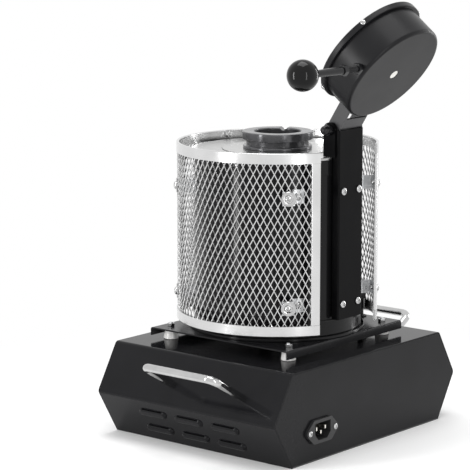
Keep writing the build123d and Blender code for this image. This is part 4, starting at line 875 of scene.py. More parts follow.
# ---- base ----
@dataclass
class BaseCasing:
    """The folded base housing with its pressed louvres. Sizes in millimetres."""

    dresser: Dresser
    top_half: float = 123.5
    ridge_half: float = 151.5
    height: float = 94.0
    ridge_z: float = 46.5
    length: float = 230.0
    sheet: float = 1.5
    bend_r: float = 5.0
    louvre_l: float = 36.0
    louvre_w: float = 9.0
    louvre_rise: float = 2.6
    louvre_pitch: float = 47.0
    louvre_rows: tuple[float, float] = (16.5, 38.0)
    stud_spots: tuple[float, float] = (78.0, 77.0)
    lead_azimuth: float = 153.0
    lead_out: float = 96.4

    def outline(self) -> Profile:
        """The end view of the housing from one foot over the top to the other.

        Returns:
            The points, with the bends rounded.
        """
        half: Profile = [(self.top_half, 0.0), (self.ridge_half, self.ridge_z), (self.top_half, self.height)]
        right = [half[0], *bend(half[0], half[1], half[2], self.bend_r, 8)]
        right += bend(half[1], half[2], (0.0, self.height), self.bend_r, 8)
        return right + [(-x, z) for x, z in reversed(right)]

    def flank(self, y: float, slope: float, side: int) -> Matrix:
        """A place on the lower flank.

        Args:
            y: How far along the base.
            slope: How far down from the ridge.
            side: 1 for the right flank, -1 for the left.

        Returns:
            The place, local X along Y, local Y up the flank and Z outwards.
        """
        run = self.ridge_half - self.top_half
        length = math.hypot(run, self.ridge_z)
        x = self.ridge_half - run / length * slope
        z = self.ridge_z * (1.0 - slope / length)
        out = Vector((self.ridge_z / length * side, 0.0, -run / length))
        up = Vector((run / length * side, 0.0, self.ridge_z / length))
        across = up.cross(out)
        matrix = Matrix((across, up, out)).transposed().to_4x4()
        matrix.translation = Vector((x * side, y, z)) * MM
        return matrix

    def places(self) -> list[Matrix]:
        """Where the twelve louvres sit.

        Returns:
            Their places on both lower flanks.
        """
        steps = (-self.louvre_pitch, 0.0, self.louvre_pitch)
        return [self.flank(y, slope, side) for side in (1, -1) for slope in self.louvre_rows for y in steps]

    def capsule(self, length: float, width: float, steps: int = 10) -> Profile:
        """A rounded slot's outline.

        Args:
            length: Its whole length.
            width: Its width.
            steps: Edges round each end.

        Returns:
            The outline's corners.
        """
        shift, r = (length - width) / 2, width / 2
        return arc(shift, 0, r, -90, 90, steps) + arc(-shift, 0, r, 90, 270, steps)

    def hood(self) -> bpy.types.Object:
        """Models one pressed hood with its mouth at the upper edge.

        Returns:
            The hood at the origin, its mouth towards +Y.
        """
        line = [(x, y, 0.0) for x, y in self.capsule(self.louvre_l, self.louvre_w)]
        piece = chain("hood", [*line, line[0]])
        with editing(piece):
            bpy.ops.mesh.select_all(action="SELECT")
            bpy.ops.mesh.remove_doubles(threshold=0.0005 * MM)
            bpy.ops.mesh.edge_face_add()
            bpy.ops.mesh.normals_make_consistent(inside=False)
            mesh = bmesh.from_edit_mesh(piece.data)
            if next(iter(mesh.faces)).normal.z < 0:
                bpy.ops.mesh.flip_normals()
            for thick, deep in ((0.35, 0.9), (0.55, 0.8), (0.9, 0.6), (1.1, 0.3)):
                bpy.ops.mesh.inset(thickness=thick * MM, depth=deep * MM)
        apply(piece, "SOLIDIFY", thickness=0.8 * MM, offset=-1.0)
        half = (self.louvre_l - self.louvre_w - 1) / 2
        low, high = (-half, self.louvre_w / 2 - 2.4, 0.15), (half, self.louvre_w, 1.35)
        cut(piece, slab("mouth", low, high))
        soften(piece, 0.0)
        return piece

    def build(self) -> None:
        """Models the cover with its louvres and finishes the plates behind it."""
        line = [(x, -self.length / 2, z) for x, z in self.outline()]
        cover = chain("housing_cover", line)
        with editing(cover):
            bpy.ops.mesh.select_all(action="SELECT")
            bpy.ops.mesh.extrude_region_move(TRANSFORM_OT_translate={"value": (0, self.length * MM, 0)})
            bpy.ops.mesh.select_all(action="SELECT")
            bpy.ops.mesh.normals_make_consistent(inside=False)
            mesh = bmesh.from_edit_mesh(cover.data)
            top = max(mesh.faces, key=lambda f: f.calc_center_median().z)
            if top.normal.z < 0:
                bpy.ops.mesh.flip_normals()
        apply(cover, "SOLIDIFY", thickness=self.sheet * MM, offset=-1.0, use_even_offset=True)
        cutter = prism("louvre_slot", self.capsule(self.louvre_l - 3, self.louvre_w - 3), 6.0)
        cut(cover, repeat("louvre_slots", cutter, [p @ at(0, 0, -4) for p in self.places()]))
        drill = prism("stud_drill", polygon(24, 2.15), 6.0)
        spots = [
            at(sx * self.stud_spots[0], FURNACE_Y + sy * self.stud_spots[1], self.height - 4)
            for sx in (-1, 1)
            for sy in (-1, 1)
        ]
        cut(cover, repeat("stud_drills", drill, spots))
        cut(cover, self._lead_hole())
        soften(cover, 0.35, 2)
        hoods = repeat("louvre_hoods", self.hood(), self.places())
        cover = join("housing_cover", [cover, hoods])
        self.dresser.seat(cover, "furnace", "gloss_black", "base_cover")
        self.dresser.refine("rear_panel", "furnace", "satin_black", 0.4)
        self.dresser.refine("front_panel", "furnace", "satin_black", 0.4)
        self.dresser.refine("floor_plate", "furnace", "dark_sheet", 0.3)

    def _lead_hole(self) -> bpy.types.Object:
        """Models the drill for the lead's grommet in the top."""
        drill = prism("lead_drill", polygon(32, 5.0), 6.0)
        turn = math.radians(self.lead_azimuth)
        x, y = self.lead_out * math.cos(turn), FURNACE_Y + self.lead_out * math.sin(turn)
        settle(drill, at(x, y, self.height - 4))
        return drill


@dataclass
class CarryHandles:
    """The two bows of round bar on the upper flanks. Sizes in millimetres."""

    dresser: Dresser
    pitch: float = 90.0
    reach: float = 52.0
    radius: float = 4.0
    bend_r: float = 9.0
    slope: float = 22.0
    ridge: tuple[float, float] = (151.5, 46.5)
    top: tuple[float, float] = (123.5, 94.0)

    def _turn_over(self, x: float, z: float) -> None:
        """Bends the open end a quarter turn about a centre, in metres."""
        bpy.ops.mesh.spin(steps=12, angle=-math.pi / 2, center=(x, 0, z), axis=(0, 1, 0))

    def bow(self, name: str) -> bpy.types.Object:
        """Models one bow: a round bar run up, turned over and run down again.

        Args:
            name: The object's name.

        Returns:
            The bow with its feet on Z = 0, its bar along X.
        """
        half, r, rise = self.pitch / 2, self.bend_r, self.reach - self.bend_r
        pick()
        bpy.ops.mesh.primitive_circle_add(
            vertices=32, radius=self.radius * MM, location=(-half * MM, 0, 0), fill_type="NGON"
        )
        piece = bpy.context.object
        piece.name = name
        pick(piece)
        bpy.ops.object.transform_apply(location=True, rotation=True, scale=True)
        with editing(piece, "FACE"):
            bpy.ops.mesh.select_all(action="SELECT")
            bpy.ops.mesh.extrude_region_move(TRANSFORM_OT_translate={"value": (0, 0, rise * MM)})
            self._turn_over((-half + r) * MM, rise * MM)
            run = (self.pitch - 2 * r) * MM
            bpy.ops.mesh.extrude_region_move(TRANSFORM_OT_translate={"value": (run, 0, 0)})
            self._turn_over((half - r) * MM, rise * MM)
            bpy.ops.mesh.extrude_region_move(TRANSFORM_OT_translate={"value": (0, 0, -rise * MM)})
        face_outwards(piece)
        soften(piece, 0.5, 2, 60.0)
        return piece

    def build(self) -> None:
        """Models both bows and seats them on the flanks."""
        run, rise = self.ridge[0] - self.top[0], self.top[1] - self.ridge[1]
        length = math.hypot(run, rise)
        for side, y, node in ((1, 23.0, "carry_handle_right"), (-1, -12.0, "carry_handle_left")):
            x = side * (self.ridge[0] - run / length * self.slope)
            foot = (x, y, self.ridge[1] + rise / length * self.slope)
            out = (side * rise / length, 0.0, run / length)
            piece = self.bow(f"{node}_bar")
            settle(piece, facing(foot, out, (0.0, 1.0, 0.0)))
            self.dresser.seat(piece, "furnace", "bright_steel", node)


@dataclass
class InletSet:
    """The appliance inlet on the rear panel. Sizes in millimetres."""

    dresser: Dresser
    x: float = 78.5
    z: float = 30.0
    face_y: float = 118.0
    pitch: float = 40.0

    def build(self) -> None:
        """Refines the socket and blades and models the two screws."""
        self.dresser.refine("inlet_socket", "furnace", "black_plastic", 0.5, 3)
        self.dresser.refine("inlet_blades", "furnace", "blade_metal", 0.25)
        screw = Screw(head_r=3.0, head_h=1.5, shank_r=1.5, shank_l=8.0).build("inlet_screw")
        places = []
        for s in (-1, 1):
            spot = (self.x + s * self.pitch / 2, self.face_y, self.z)
            places.append(facing(spot, (0, 1, 0)) @ Matrix.Rotation(0.4 * s, 4, "Z"))
        pair = repeat("inlet_screw_pair", screw, places)
        self.dresser.seat(pair, "furnace", "bright_steel", "inlet_screws")


class Mark(Enum):
    """A plain mark on a key or on the rocker."""

    DOT = "dot"
    LEFT = "left arrow"
    DOWN = "down arrow"
    UP = "up arrow"


@dataclass
class ControlFace:
    """The controller, its keys and the rocker on the front panel. Sizes in millimetres."""

    dresser: Dresser
    x: float = -38.0
    face_y: float = -120.0
    window_z: float = 59.0
    key_z: float = 36.5
    key_pitch: float = 10.0
    key_face_y: float = -121.0
    rocker: Triple = (42.0, -111.0, 52.0)
    rocker_r: float = 34.0
    rocker_face: float = -8.0

    def segment(self) -> bpy.types.Object:
        """Models one bar of a digit, pointed at both ends."""
        half, wide = 1.9, 0.42
        body = half - 0.45
        outline = [(-half, 0.0), (-body, -wide), (body, -wide), (half, 0.0), (body, wide), (-body, wide)]
        return prism("digit_bar", outline, 0.06)

    def display(self) -> None:
        """Models two rows of unlit digits on the window."""
        bars = []
        upright = Matrix.Rotation(math.pi / 2, 4, "Z")
        for row in (6.0, -5.0):
            for column in range(4):
                base = at((column - 1.5) * 8.2, row, 0.0)
                bars += [base @ at(0, dy, 0) for dy in (3.9, 0, -3.9)]
                bars += [base @ at(dx, dy, 0) @ upright for dy in (1.95, -1.95) for dx in (-2.0, 2.0)]
        place = facing((self.x, self.face_y, self.window_z), (0, -1, 0), (1, 0, 0))
        if (place.to_3x3() @ Vector((0, 1, 0))).z < 0:
            place = place @ Matrix.Rotation(math.pi, 4, "Z")
        digits = repeat("display_digits", self.segment(), [place @ b for b in bars])
        self.dresser.seat(digits, "furnace", "smoked_window")
        self.dresser.paint(digits, UNLIT_RED.make())

    def glyph(self, mark: Mark, name: str) -> bpy.types.Object:
        """Models a key's mark, lying on Z = 0 and pointing as asked."""
        if mark is Mark.DOT:
            return turned(name, [(0.7, 0.0), (1.15, 0.0), (1.15, 0.05), (0.7, 0.05)], steps=24)
        turn = {Mark.LEFT: 180.0, Mark.DOWN: 270.0, Mark.UP: 90.0}[mark]
        return prism(name, polygon(3, 1.4, turn), 0.05)

    def build(self) -> None:
        """Refines the case, window, keys and switch and puts their marks on."""
        self.dresser.refine("controller_case", "furnace", "black_plastic", 0.4)
        self.dresser.refine("controller_window", "furnace", "smoked_window", 0.2)
        self.display()
        white = MARK_WHITE.make()
        keys = {
            "key_set": Mark.DOT, "key_shift": Mark.LEFT, "key_down": Mark.DOWN, "key_up": Mark.UP,
        }
        for i, (node, mark) in enumerate(keys.items()):
            self.dresser.refine(node, f"{node}_body", "grey_key", 0.35)
            glyph = self.glyph(mark, f"{node}_mark")
            upright = Matrix(((1, 0, 0, 0), (0, 0, -1, 0), (0, 1, 0, 0), (0, 0, 0, 1)))
            settle(glyph, at(self.x + (i - 1.5) * self.key_pitch, self.key_face_y, self.key_z) @ upright)
            self.dresser.seat(glyph, f"{node}_body", "grey_key")
            self.dresser.paint(glyph, white)
        self.dresser.refine("switch_housing", "furnace", "black_plastic", 0.4)
        self.dresser.refine("switch_rocker", "rocker_body", "black_gloss_plastic", 0.3)
        self.rocker_marks(white)

    def rocker_marks(self, white: bpy.types.Material) -> None:
        """Puts the bar and the ring of on and off on the rocker's two halves.

        Args:
            white: The material of the marks.
        """
        pivot = at(*self.rocker) @ Matrix.Rotation(math.radians(7.0), 4, "X")
        upright = Matrix(((1, 0, 0, 0), (0, 0, -1, 0), (0, 1, 0, 0), (0, 0, 0, 1)))
        bar = prism("rocker_on_bar", [(-0.35, -2.0), (0.35, -2.0), (0.35, 2.0), (-0.35, 2.0)], 0.05)
        ring = turned("rocker_off_ring", [(1.25, 0.0), (1.85, 0.0), (1.85, 0.05), (1.25, 0.05)], steps=32)
        for piece, lift, tilt in ((bar, 6.0, 10.2), (ring, -6.0, -10.2)):
            sag = self.rocker_r - math.sqrt(self.rocker_r**2 - lift**2)
            depth = self.rocker_face + sag - 0.02
            lean = Matrix.Rotation(math.radians(-tilt), 4, "X")
            settle(piece, pivot @ at(0.0, depth, lift) @ lean @ upright)
            self.dresser.seat(piece, "rocker_body", "black_gloss_plastic")
            self.dresser.paint(piece, white)


@dataclass
class TrayStand:
    """Porcelain stand-offs, studs, nuts and the tray on them. Sizes in millimetres."""

    dresser: Dresser
    spots: tuple[float, float] = (78.0, 77.0)
    base_z: float = 94.0
    height: float = 11.5
    foot_r: float = 7.6
    head_r: float = 6.2
    bore: float = 2.15

    def places(self, z: float) -> list[Matrix]:
        """The four stud places at a height."""
        places = []
        for sx in (-1, 1):
            for sy in (-1, 1):
                turn = Matrix.Rotation(0.35 * sx + 0.2 * sy, 4, "Z")
                places.append(at(sx * self.spots[0], FURNACE_Y + sy * self.spots[1], z) @ turn)
        return places

    def build(self) -> None:
        """Models the stand-offs, studs and nuts and refines the tray."""
        foot, head, h = self.foot_r, self.head_r, self.height
        line = [(self.bore, 0.0), *arc(foot - 0.9, 0.9, 0.9, -90, 0, 4)]
        line += [*arc(head - 1.2, h - 1.2, 1.2, 0, 90, 5), (self.bore, h)]
        cone = turned("standoff", line, steps=48)
        soften(cone, 0.0)
        cones = repeat("porcelain_standoffs", cone, self.places(self.base_z))
        self.dresser.seat(cones, "furnace", "white_ceramic", "ceramic_standoffs")
        low, high = self.base_z - 5.5, TRAY_TOP + 4.0
        studs = repeat("threaded_studs", threaded("stud", 2.0, 0.0, high - low), self.places(low))
        self.dresser.seat(studs, "furnace", "zinc_steel", "standoff_studs")
        nut = Nut(across=7.0, height=3.0, bore=2.05).build("tray_nut")
        nuts = repeat("tray_nuts", nut, self.places(TRAY_TOP) + self.places(self.base_z - 4.5))
        self.dresser.seat(nuts, "furnace", "bright_steel", "standoff_nuts")
        self.dresser.refine("tray", "furnace", "satin_black", 0.3)


# ---- body ----
@dataclass
class FurnaceBody:
    """The round body: pan, shell, bands, plates and what shows of the inside. In millimetres."""

    dresser: Dresser
    shell_r: float = 85.5
    shell_t: float = 1.2
    plate_under: float = 287.3
    band_r: float = 86.6
    skirt_h: float = 16.0
    cap_h: float = 15.5
    plate_r: float = 87.6
    plate_bore: float = 40.0
    mouth_r: float = 56.5
    mouth_bore: float = 31.0
    pan_r: float = 90.0
    screw_r: float = 2.6
    screw_azimuths: tuple[float, ...] = (9, 45, 117, 153, 189, 225, 261, 297, 333)

    def axis(self) -> Matrix:
        """The place of the furnace's axis."""
        return at(0.0, FURNACE_Y, 0.0)

    def ring(self, name: str, profile: Profile, slot: str, *nodes: str) -> bpy.types.Object:
        """Turns a ring on the furnace's axis and seats it.

        Args:
            name: The piece's name.
            profile: Its section.
            slot: Its material slot.
            *nodes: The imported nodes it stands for.

        Returns:
            The piece.
        """
        piece = turned(name, profile, steps=128)
        settle(piece, self.axis())
        soften(piece, 0.0)
        return self.dresser.seat(piece, "furnace", slot, *nodes)

    def band(self, name: str, low: float, high: float) -> bpy.types.Object:
        """Models a rolled band whose edges are turned over in a bead.

        Args:
            name: The piece's name.
            low: Its lower edge.
            high: Its upper edge.

        Returns:
            The band on the furnace's axis.
        """
        r, inner, bead = self.band_r, self.shell_r + 0.1, 0.5
        line: Profile = [(inner, low)]
        line += arc(r - bead, low + bead, bead, -90, 0, 4)
        line += [(r, low + 1.6), (r - 0.3, low + 2.0), (r - 0.3, high - 2.0), (r, high - 1.6)]
        line += arc(r - bead, high - bead, bead, 0, 90, 4)
        line += [(inner, high)]
        piece = turned(name, line, steps=128)
        settle(piece, self.axis())
        soften(piece, 0.0)
        return piece

    def build(self) -> None:
        """Models the outer skin and finishes the inside nodes."""
        top = self.plate_under
        pan: Profile = [(0, TRAY_TOP), *arc(self.pan_r - 0.5, TRAY_TOP + 0.5, 0.5, -90, 0, 3)]
        pan += [*arc(self.pan_r - 0.9, SHELL_Z0 - 0.9, 0.9, 0, 90, 4), (0, SHELL_Z0)]
        self.ring("pan_disc", pan, "body_black", "body_pan")
        inner = self.shell_r - self.shell_t
        skin = [(inner, SHELL_Z0), (self.shell_r, SHELL_Z0), (self.shell_r, top), (inner, top)]
        self.ring("shell_skin", skin, "body_black", "body_shell")
        skirt = self.band("skirt_band", SHELL_Z0, SHELL_Z0 + self.skirt_h)
        cap = self.band("cap_band", top - self.cap_h, top)
        self.dresser.seat(join("shell_bands", [skirt, cap]), "furnace", "body_black", "body_bands")
        button: Profile = [(0.0, -1.5), (1.0, -1.5), (1.0, 0.0), (self.screw_r, 0.0)]
        turns = [math.radians(a) for a in range(15, 90, 15)]
        button += [(self.screw_r * math.cos(t), 1.5 * math.sin(t)) for t in turns]
        button.append((0.0, 1.5))
        screw = turned("cap_button", button, steps=24)
        soften(screw, 0.0)
        height = top - self.cap_h * 0.55
        places = [round_axis(az, self.band_r - 0.2, height) for az in self.screw_azimuths]
        self.dresser.seat(repeat("cap_buttons", screw, places), "furnace", "black_oxide", "cap_screws")
        self.plates()
        for node, slot in (
            ("terminal_box", "black_plastic"),
            ("lead_sleeve", "black_rubber"),
            ("lead_grommets", "black_rubber"),
        ):
            self.dresser.refine(node, "furnace", slot, 0.4 if node == "terminal_box" else 0.2)

    def plates(self) -> None:
        """Models the top plate and the mouth plate with their eased edges."""
        low, high, r, bore = self.plate_under, PLATE_TOP, self.plate_r, self.plate_bore
        seam_r, seam_z, face_z = self.mouth_r, high - 0.5, high - 0.05
        plate = [(bore, low), (r - 0.5, low), *arc(r - 0.7, high - 0.7, 0.7, -20, 90, 5)]
        plate += [(seam_r + 0.5, high), (seam_r + 0.2, seam_z), (seam_r - 0.6, seam_z)]
        plate += [(seam_r - 0.6, face_z), (bore + 0.3, face_z), (bore, high - 0.3)]
        self.ring("top_ring_plate", plate, "pale_steel", "top_plate")
        r, bore, low, high = self.mouth_r, self.mouth_bore, PLATE_TOP, SEAT_Z
        mouth = [(bore, low), (r, low), *arc(r - 0.35, high - 0.35, 0.35, 0, 90, 3)]
        mouth += [(bore + 0.3, high), (bore, high - 0.3)]
        self.ring("mouth_ring_plate", mouth, "pale_steel", "mouth_plate")


@dataclass
class CruciblePot:
    """The graphite pot with its double flange and pouring notch. In millimetres."""

    dresser: Dresser
    bottom: float = 137.9
    wall_r: float = 28.5
    seat_r: float = 35.2
    groove_r: float = 32.0
    flange_r: float = 36.0
    bore_r: float = 23.8
    notch_azimuth: float = 205.0
    notch_w: float = 9.0
    notch_d: float = 3.0

    def build(self) -> None:
        """Turns the pot, cuts its notch and seats it."""
        seat, top = SEAT_Z, CRUCIBLE_TOP
        z = self.bottom
        line: Profile = [(0, z), *arc(self.wall_r - 2.5, z + 2.5, 2.5, -90, 0, 4), (self.wall_r, seat)]
        r = self.seat_r
        line += [(r - 0.4, seat), (r, seat + 0.4), (r, seat + 2.5), (r - 0.5, seat + 3.0)]
        r = self.groove_r
        line += [(r + 0.4, seat + 3.0), (r, seat + 3.4), (r, seat + 8.8), (r + 0.4, seat + 9.2)]
        line += [(self.flange_r - 0.4, seat + 9.2), (self.flange_r, seat + 9.6)]
        line += arc(self.flange_r - 1.0, top - 1.0, 1.0, 0, 90, 4)
        line += arc(self.bore_r + 1.4, top - 1.4, 1.4, 90, 180, 5)
        line += [(self.bore_r, z + 15.0), *arc(self.bore_r - 5.0, z + 15.0, 5.0, 0, -90, 6), (0, z + 10.0)]
        pot = turned("graphite_pot", line, steps=128)
        settle(pot, at(0, FURNACE_Y, 0))
        turn = math.radians(self.notch_azimuth)
        out = (math.cos(turn), math.sin(turn), 0.0)
        wide, deep = self.notch_w / 2 * 1.25, self.notch_d
        wedge = prism("pour_notch", [(-deep, -0.7), (1.0, -wide), (1.0, wide), (-deep, 0.7)], 26.0)
        start = (out[0] * (self.bore_r - 4), FURNACE_Y + out[1] * (self.bore_r - 4), top)
        settle(wedge, facing(start, out))
        cut(pot, wedge)
        soften(pot, 0.2, 2, 40.0)
        self.dresser.seat(pot, "crucible_body", "graphite", "crucible")


# ---- guard ----
@dataclass
class Guard:
    """The expanded-metal guard, its folded hoops, end strips and fixings. In millimetres."""

    dresser: Dresser
    start: float = 117.0
    span: float = 306.0
    low: float = 115.0
    high: float = 297.8
    outer_r: float = 103.2
    net_r: float = 101.8
    hoop_h: float = 10.5
    strip_arc: float = 5.3
    columns: int = 78
    rows: int = 14
    strand: float = 0.9
    strand_t: float = 0.9
    tilt: float = 0.45
    lug_azimuth: float = 250.0
    fixing_azimuths: tuple[float, ...] = (45.0, 135.0, 225.0, 315.0)
    fixing_heights: tuple[float, float] = (143.5, 253.0)

    def net(self) -> bpy.types.Object:
        """Models the net flat and rolls it up.

        A grid's cells are poked and merged over its own edges into diamonds, which are
        inset and opened, and the strands are tipped and given their thickness.

        Returns:
            The rolled net on the furnace's axis.
        """
        width = math.radians(self.span - 1.2) * self.net_r
        height = self.high - self.low - 2.4
        pick()
        bpy.ops.mesh.primitive_grid_add(x_subdivisions=self.columns, y_subdivisions=self.rows, size=1.0)
        piece = bpy.context.object
        piece.name = "diamond_net"
        piece.scale = (width * MM, height * MM, 1.0)
        pick(piece)
        bpy.ops.object.transform_apply(location=True, rotation=True, scale=True)
        with editing(piece, "EDGE"):
            bpy.ops.mesh.select_all(action="SELECT")
            bpy.ops.mesh.poke()
            bpy.ops.mesh.select_all(action="DESELECT")
            mesh = bmesh.from_edit_mesh(piece.data)
            for edge in mesh.edges:
                a, b = edge.verts[0].co / MM, edge.verts[1].co / MM
                straight = abs(a.x - b.x) < 0.01 or abs(a.y - b.y) < 0.01
                edge.select_set(straight and len(edge.link_faces) == 2)
            bmesh.update_edit_mesh(piece.data)
            bpy.ops.mesh.dissolve_edges(use_verts=False)
            bpy.ops.mesh.select_mode(type="FACE")
            bpy.ops.mesh.select_all(action="SELECT")
            bpy.ops.mesh.inset(
                thickness=self.strand / 2 * MM, depth=0.0, use_individual=True, use_even_offset=True
            )
            mesh = bmesh.from_edit_mesh(piece.data)
            limit = 0.25 * (width / self.columns) * (height / self.rows) * MM * MM
            for face in mesh.faces:
                face.select_set(face.calc_area() > limit and len(face.verts) in (3, 4))
            bmesh.update_edit_mesh(piece.data)
            bpy.ops.mesh.delete(type="ONLY_FACE")
        return piece

    def tip(self, piece: bpy.types.Object) -> None:
        """Tips the strands, as slitting and pulling leaves them.

        Args:
            piece: The flat net.
        """
        height = self.high - self.low - 2.4
        with editing(piece, "VERT"):
            for sign in (1, -1):
                take_verts(piece, lambda co, s=sign: self._side(co, height) == s)
                bpy.ops.transform.translate(value=(0, 0, sign * self.tilt * MM))

    def _side(self, co: Vector, height: float) -> int:
        """Says on which side of its strand a corner lies: 1 above, -1 below, 0 on it."""
        row = (co.y + height / 2) / (height / self.rows / 2)
        off = row - round(row)
        if abs(off) < 0.02:
            return 0
        return 1 if off > 0 else -1

    def roll(self, piece: bpy.types.Object) -> None:
        """Rolls the flat net round the furnace's axis.

        Args:
            piece: The net, flat in X and Y.
        """
        first = self.start + 0.6
        width = math.radians(self.span - 1.2) * self.net_r
        mesh = bmesh.new()
        mesh.from_mesh(piece.data)
        for vert in mesh.verts:
            turn = math.radians(first) + (vert.co.x / MM + width / 2) / self.net_r
            radius = self.net_r * MM + vert.co.z
            z = (self.low + self.high) / 2 * MM + vert.co.y
            vert.co = Vector((radius * math.cos(turn), FURNACE_Y * MM + radius * math.sin(turn), z))
        mesh.to_mesh(piece.data)
        mesh.free()

    def hoop(self, name: str, low: float, high: float, closed_top: bool) -> bpy.types.Object:
        """Models a hoop folded over one edge of the net.

        Args:
            name: The piece's name.
            low: The hoop's lower edge.
            high: Its upper edge.
            closed_top: Whether the fold is at the top.

        Returns:
            The hoop on the furnace's axis.
        """
        outer, wall = self.outer_r, 0.8
        inner = outer - 2.95
        r = 0.95
        outside: Profile = [(outer, low), *arc(outer - r, high - r, r, 0, 90, 4)]
        outside += [*arc(inner + r, high - r, r, 90, 180, 4), (inner, low)]
        near, far, roof = inner + wall, outer - wall, high - wall
        inside: Profile = [(near, low), (near, roof - 0.2), (near + 0.2, roof)]
        inside += [(far - 0.2, roof), (far, roof - 0.2), (far, low)]
        line = outside + inside
        if not closed_top:
            line = [(x, low + high - z) for x, z in line]
        piece = turned(name, line, steps=140, span=self.span, start=self.start)
        settle(piece, at(0, FURNACE_Y, 0))
        soften(piece, 0.0)
        return piece

    def strip(self, name: str, first: float) -> bpy.types.Object:
        """Models the strip folded round one upright end of the net."""
        low, high = self.low + self.hoop_h, self.high - self.hoop_h
        outer, inner = self.outer_r, self.outer_r - 2.95
        line: Profile = [(inner, low), (outer, low), (outer, high), (inner, high)]
        piece = turned(name, line, steps=5, span=self.strip_arc, start=first)
        settle(piece, at(0, FURNACE_Y, 0))
        soften(piece, 0.45, 2)
        return piece

    def lug(self) -> bpy.types.Object:
        """Models the folded lug with its nut inside the upper hoop, on the far side."""
        plate = slab("lug_plate", (-5.0, -4.5, 0.0), (6.0, 4.5, 1.2))
        with editing(plate, "EDGE"):
            mesh = bmesh.from_edit_mesh(plate.data)
            for edge in mesh.edges:
                a, b = edge.verts[0].co / MM, edge.verts[1].co / MM
                edge.select_set(abs(a.z - b.z) > 1.0)
            bmesh.update_edit_mesh(plate.data)
            bpy.ops.mesh.bevel(offset=2.0 * MM, segments=4, affect="EDGES")
        soften(plate, 0.25, 2)
        nut = Nut(across=5.5, height=2.4, bore=1.5).build("lug_nut")
        settle(nut, at(0.5, 0.0, 1.2))
        end = threaded("lug_stud", 1.48, 0.5, 4.2, 0.6)
        settle(end, at(0.5, 0.0, 0.0))
        whole = join("guard_lug", [plate, nut, end])
        turn = math.radians(self.lug_azimuth)
        inward = (-math.cos(turn), -math.sin(turn), 0.0)
        r = self.outer_r - 2.95
        settle(whole, facing((-inward[0] * r, FURNACE_Y - inward[1] * r, self.high - 6.0), inward))
        return whole

    def build(self) -> None:
        """Models the net, hoops, strips and fixings."""
        net = self.net()
        self.tip(net)
        apply(net, "SOLIDIFY", thickness=self.strand_t * MM, offset=0.0)
        self.roll(net)
        face_outwards(net, 0.0005)
        pick(net)
        bpy.ops.object.shade_smooth_by_angle(angle=math.radians(30.0))
        self.dresser.seat(net, "furnace", "bright_mesh", "guard_mesh")
        top = self.hoop("upper_hoop", self.high - self.hoop_h, self.high, True)
        bottom = self.hoop("lower_hoop", self.low, self.low + self.hoop_h, False)
        hoops = join("guard_hoops", [top, bottom, self.lug()])
        self.dresser.seat(hoops, "furnace", "bright_strip", "guard_bands")
        last = self.start + self.span - self.strip_arc
        ends = [self.strip("strip_a", self.start), self.strip("strip_b", last)]
        self.dresser.seat(join("guard_end_strips", ends), "furnace", "bright_strip", "guard_edge_strips")
        self.dresser.refine("guard_brackets", "furnace", "zinc_steel", 0.3)
        self.fixings()

    def fixings(self) -> None:
        """Models the collared screws on the net and the plain ones on the shell."""
        collared = Screw(head_r=3.9, head_h=2.6, collar_r=7.5, collar_h=1.2, shank_l=5.2)
        collared = collared.build("collared_screw")
        places = []
        for i, az in enumerate(self.fixing_azimuths):
            turn = Matrix.Rotation(0.3 + 0.5 * i, 4, "Z")
            places += [round_axis(az, self.outer_r - 0.7, z) @ turn for z in self.fixing_heights]
        outer = repeat("net_screws", collared, places)
        plain = Screw(head_r=3.9, head_h=2.6, shank_l=4.0).build("plain_screw")
        places = [round_axis(az + 7.5, 87.1, z) for az in self.fixing_azimuths for z in self.fixing_heights]
        inner = repeat("heel_screws", plain, places)
        self.dresser.seat(join("guard_fixings", [outer, inner]), "furnace", "bright_steel", "guard_screws")


